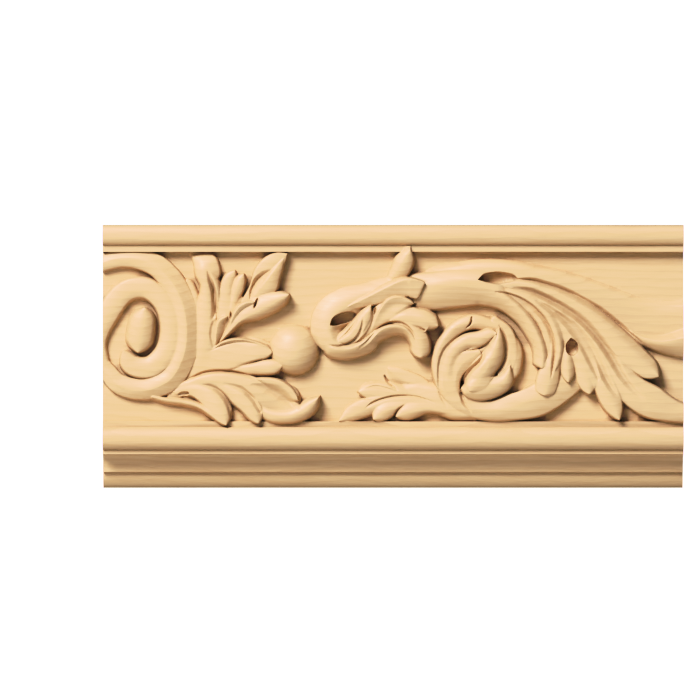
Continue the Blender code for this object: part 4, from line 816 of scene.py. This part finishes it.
def pale_floor():
    """The floor under the board, of faintly mottled paper."""
    paper = Finish("pale_floor")
    spots = paper.node("ShaderNodeTexCoord", output="Object")
    paper.surface(base_color=paper.between(paper.noise(spots, FLOOR_MOTTLE), FLOOR_DARK, FLOOR_LIGHT))
    paper.surface(roughness=FLOOR_ROUGHNESS)
    bpy.ops.object.select_all(action="DESELECT")
    bpy.ops.mesh.primitive_plane_add(size=1)
    floor = bpy.context.active_object
    floor.name = floor.data.name = "pale_floor"
    edit(floor)
    bpy.ops.transform.resize(value=(FLOOR_SIZE, FLOOR_SIZE, 1))
    bpy.ops.transform.translate(value=(0, 0, FLOOR_LEVEL))
    bpy.ops.object.mode_set(mode="OBJECT")
    floor.data.materials.append(paper.material)
    return floor


def aimed_light(kind, name, place, power):
    """A light that points at the middle of the board."""
    bpy.ops.object.light_add(type=kind, location=place)
    light = bpy.context.active_object
    light.name = name
    light.data.energy = power
    light.rotation_euler = (-light.location).to_track_quat("-Z", "Y").to_euler()
    return light.data


def lights():
    """A steep soft light above on the left, a flatter one that lends a sheen, and a narrow one behind."""
    for name, place, side, power in SOFT_LIGHTS:
        soft = aimed_light("AREA", name, place, power)
        soft.shape = "SQUARE"
        soft.size = side
    behind = aimed_light("SPOT", "back_light", BACK_LIGHT, BACK_POWER)
    behind.shadow_soft_size = BACK_RADIUS
    behind.spot_size = BACK_CONE
    behind.spot_blend = BACK_BLEND


def studio_air():
    """White air all round where it is seen, which gives only a faint warm light."""
    world = bpy.data.worlds.new("studio_air")
    bpy.context.scene.world = world
    world.use_nodes = True
    air = Nodes(world.node_tree)
    backdrop = air.tree.nodes["Background"]
    seen = air.node("ShaderNodeLightPath", output="Is Camera Ray")
    air.join(air.spread(seen, 0, 1, AIR, AIR_SEEN), backdrop.inputs["Strength"])
    air.join(air.between(seen, AIR_TINT, WHITE), backdrop.inputs["Color"])


def camera():
    """A long lens square to the face, with the photograph's frame."""
    away = PICTURE_WIDTH * FOCAL / FILM_WIDTH + PICTURE_DEPTH
    bpy.ops.object.camera_add(location=(PICTURE_MIDDLE[0], -away, PICTURE_MIDDLE[1]),
                              rotation=(np.pi / 2, 0, 0))
    view = bpy.context.active_object
    view.data.lens = FOCAL
    view.data.sensor_width = FILM_WIDTH
    view.data.clip_end = SIGHT
    bpy.context.scene.camera = view


def film():
    """How the picture takes the light: soft in the bright places, and warm in the shade."""
    look = bpy.context.scene.view_settings
    look.view_transform = "Standard"
    look.use_curve_mapping = True
    mapping = look.curve_mapping
    mapping.white_level = (FILM_WHITE,) * 3
    red, green, blue, brightness = mapping.curves
    for curve, stops, full in ((brightness, FILM_RESPONSE, 1), (red, FILM_RED, FILM_WHITE),
                               (green, FILM_GREEN, FILM_WHITE), (blue, FILM_BLUE, FILM_WHITE)):
        for place, level in stops:
            curve.points.new(place / FILM_WHITE, level / full).handle_type = "VECTOR"
    mapping.update()


board = carved_board()
board.data.materials.append(pale_wood())
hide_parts("moulding")
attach(board, "root")
floor = pale_floor()
lights()
studio_air()
camera()
film()
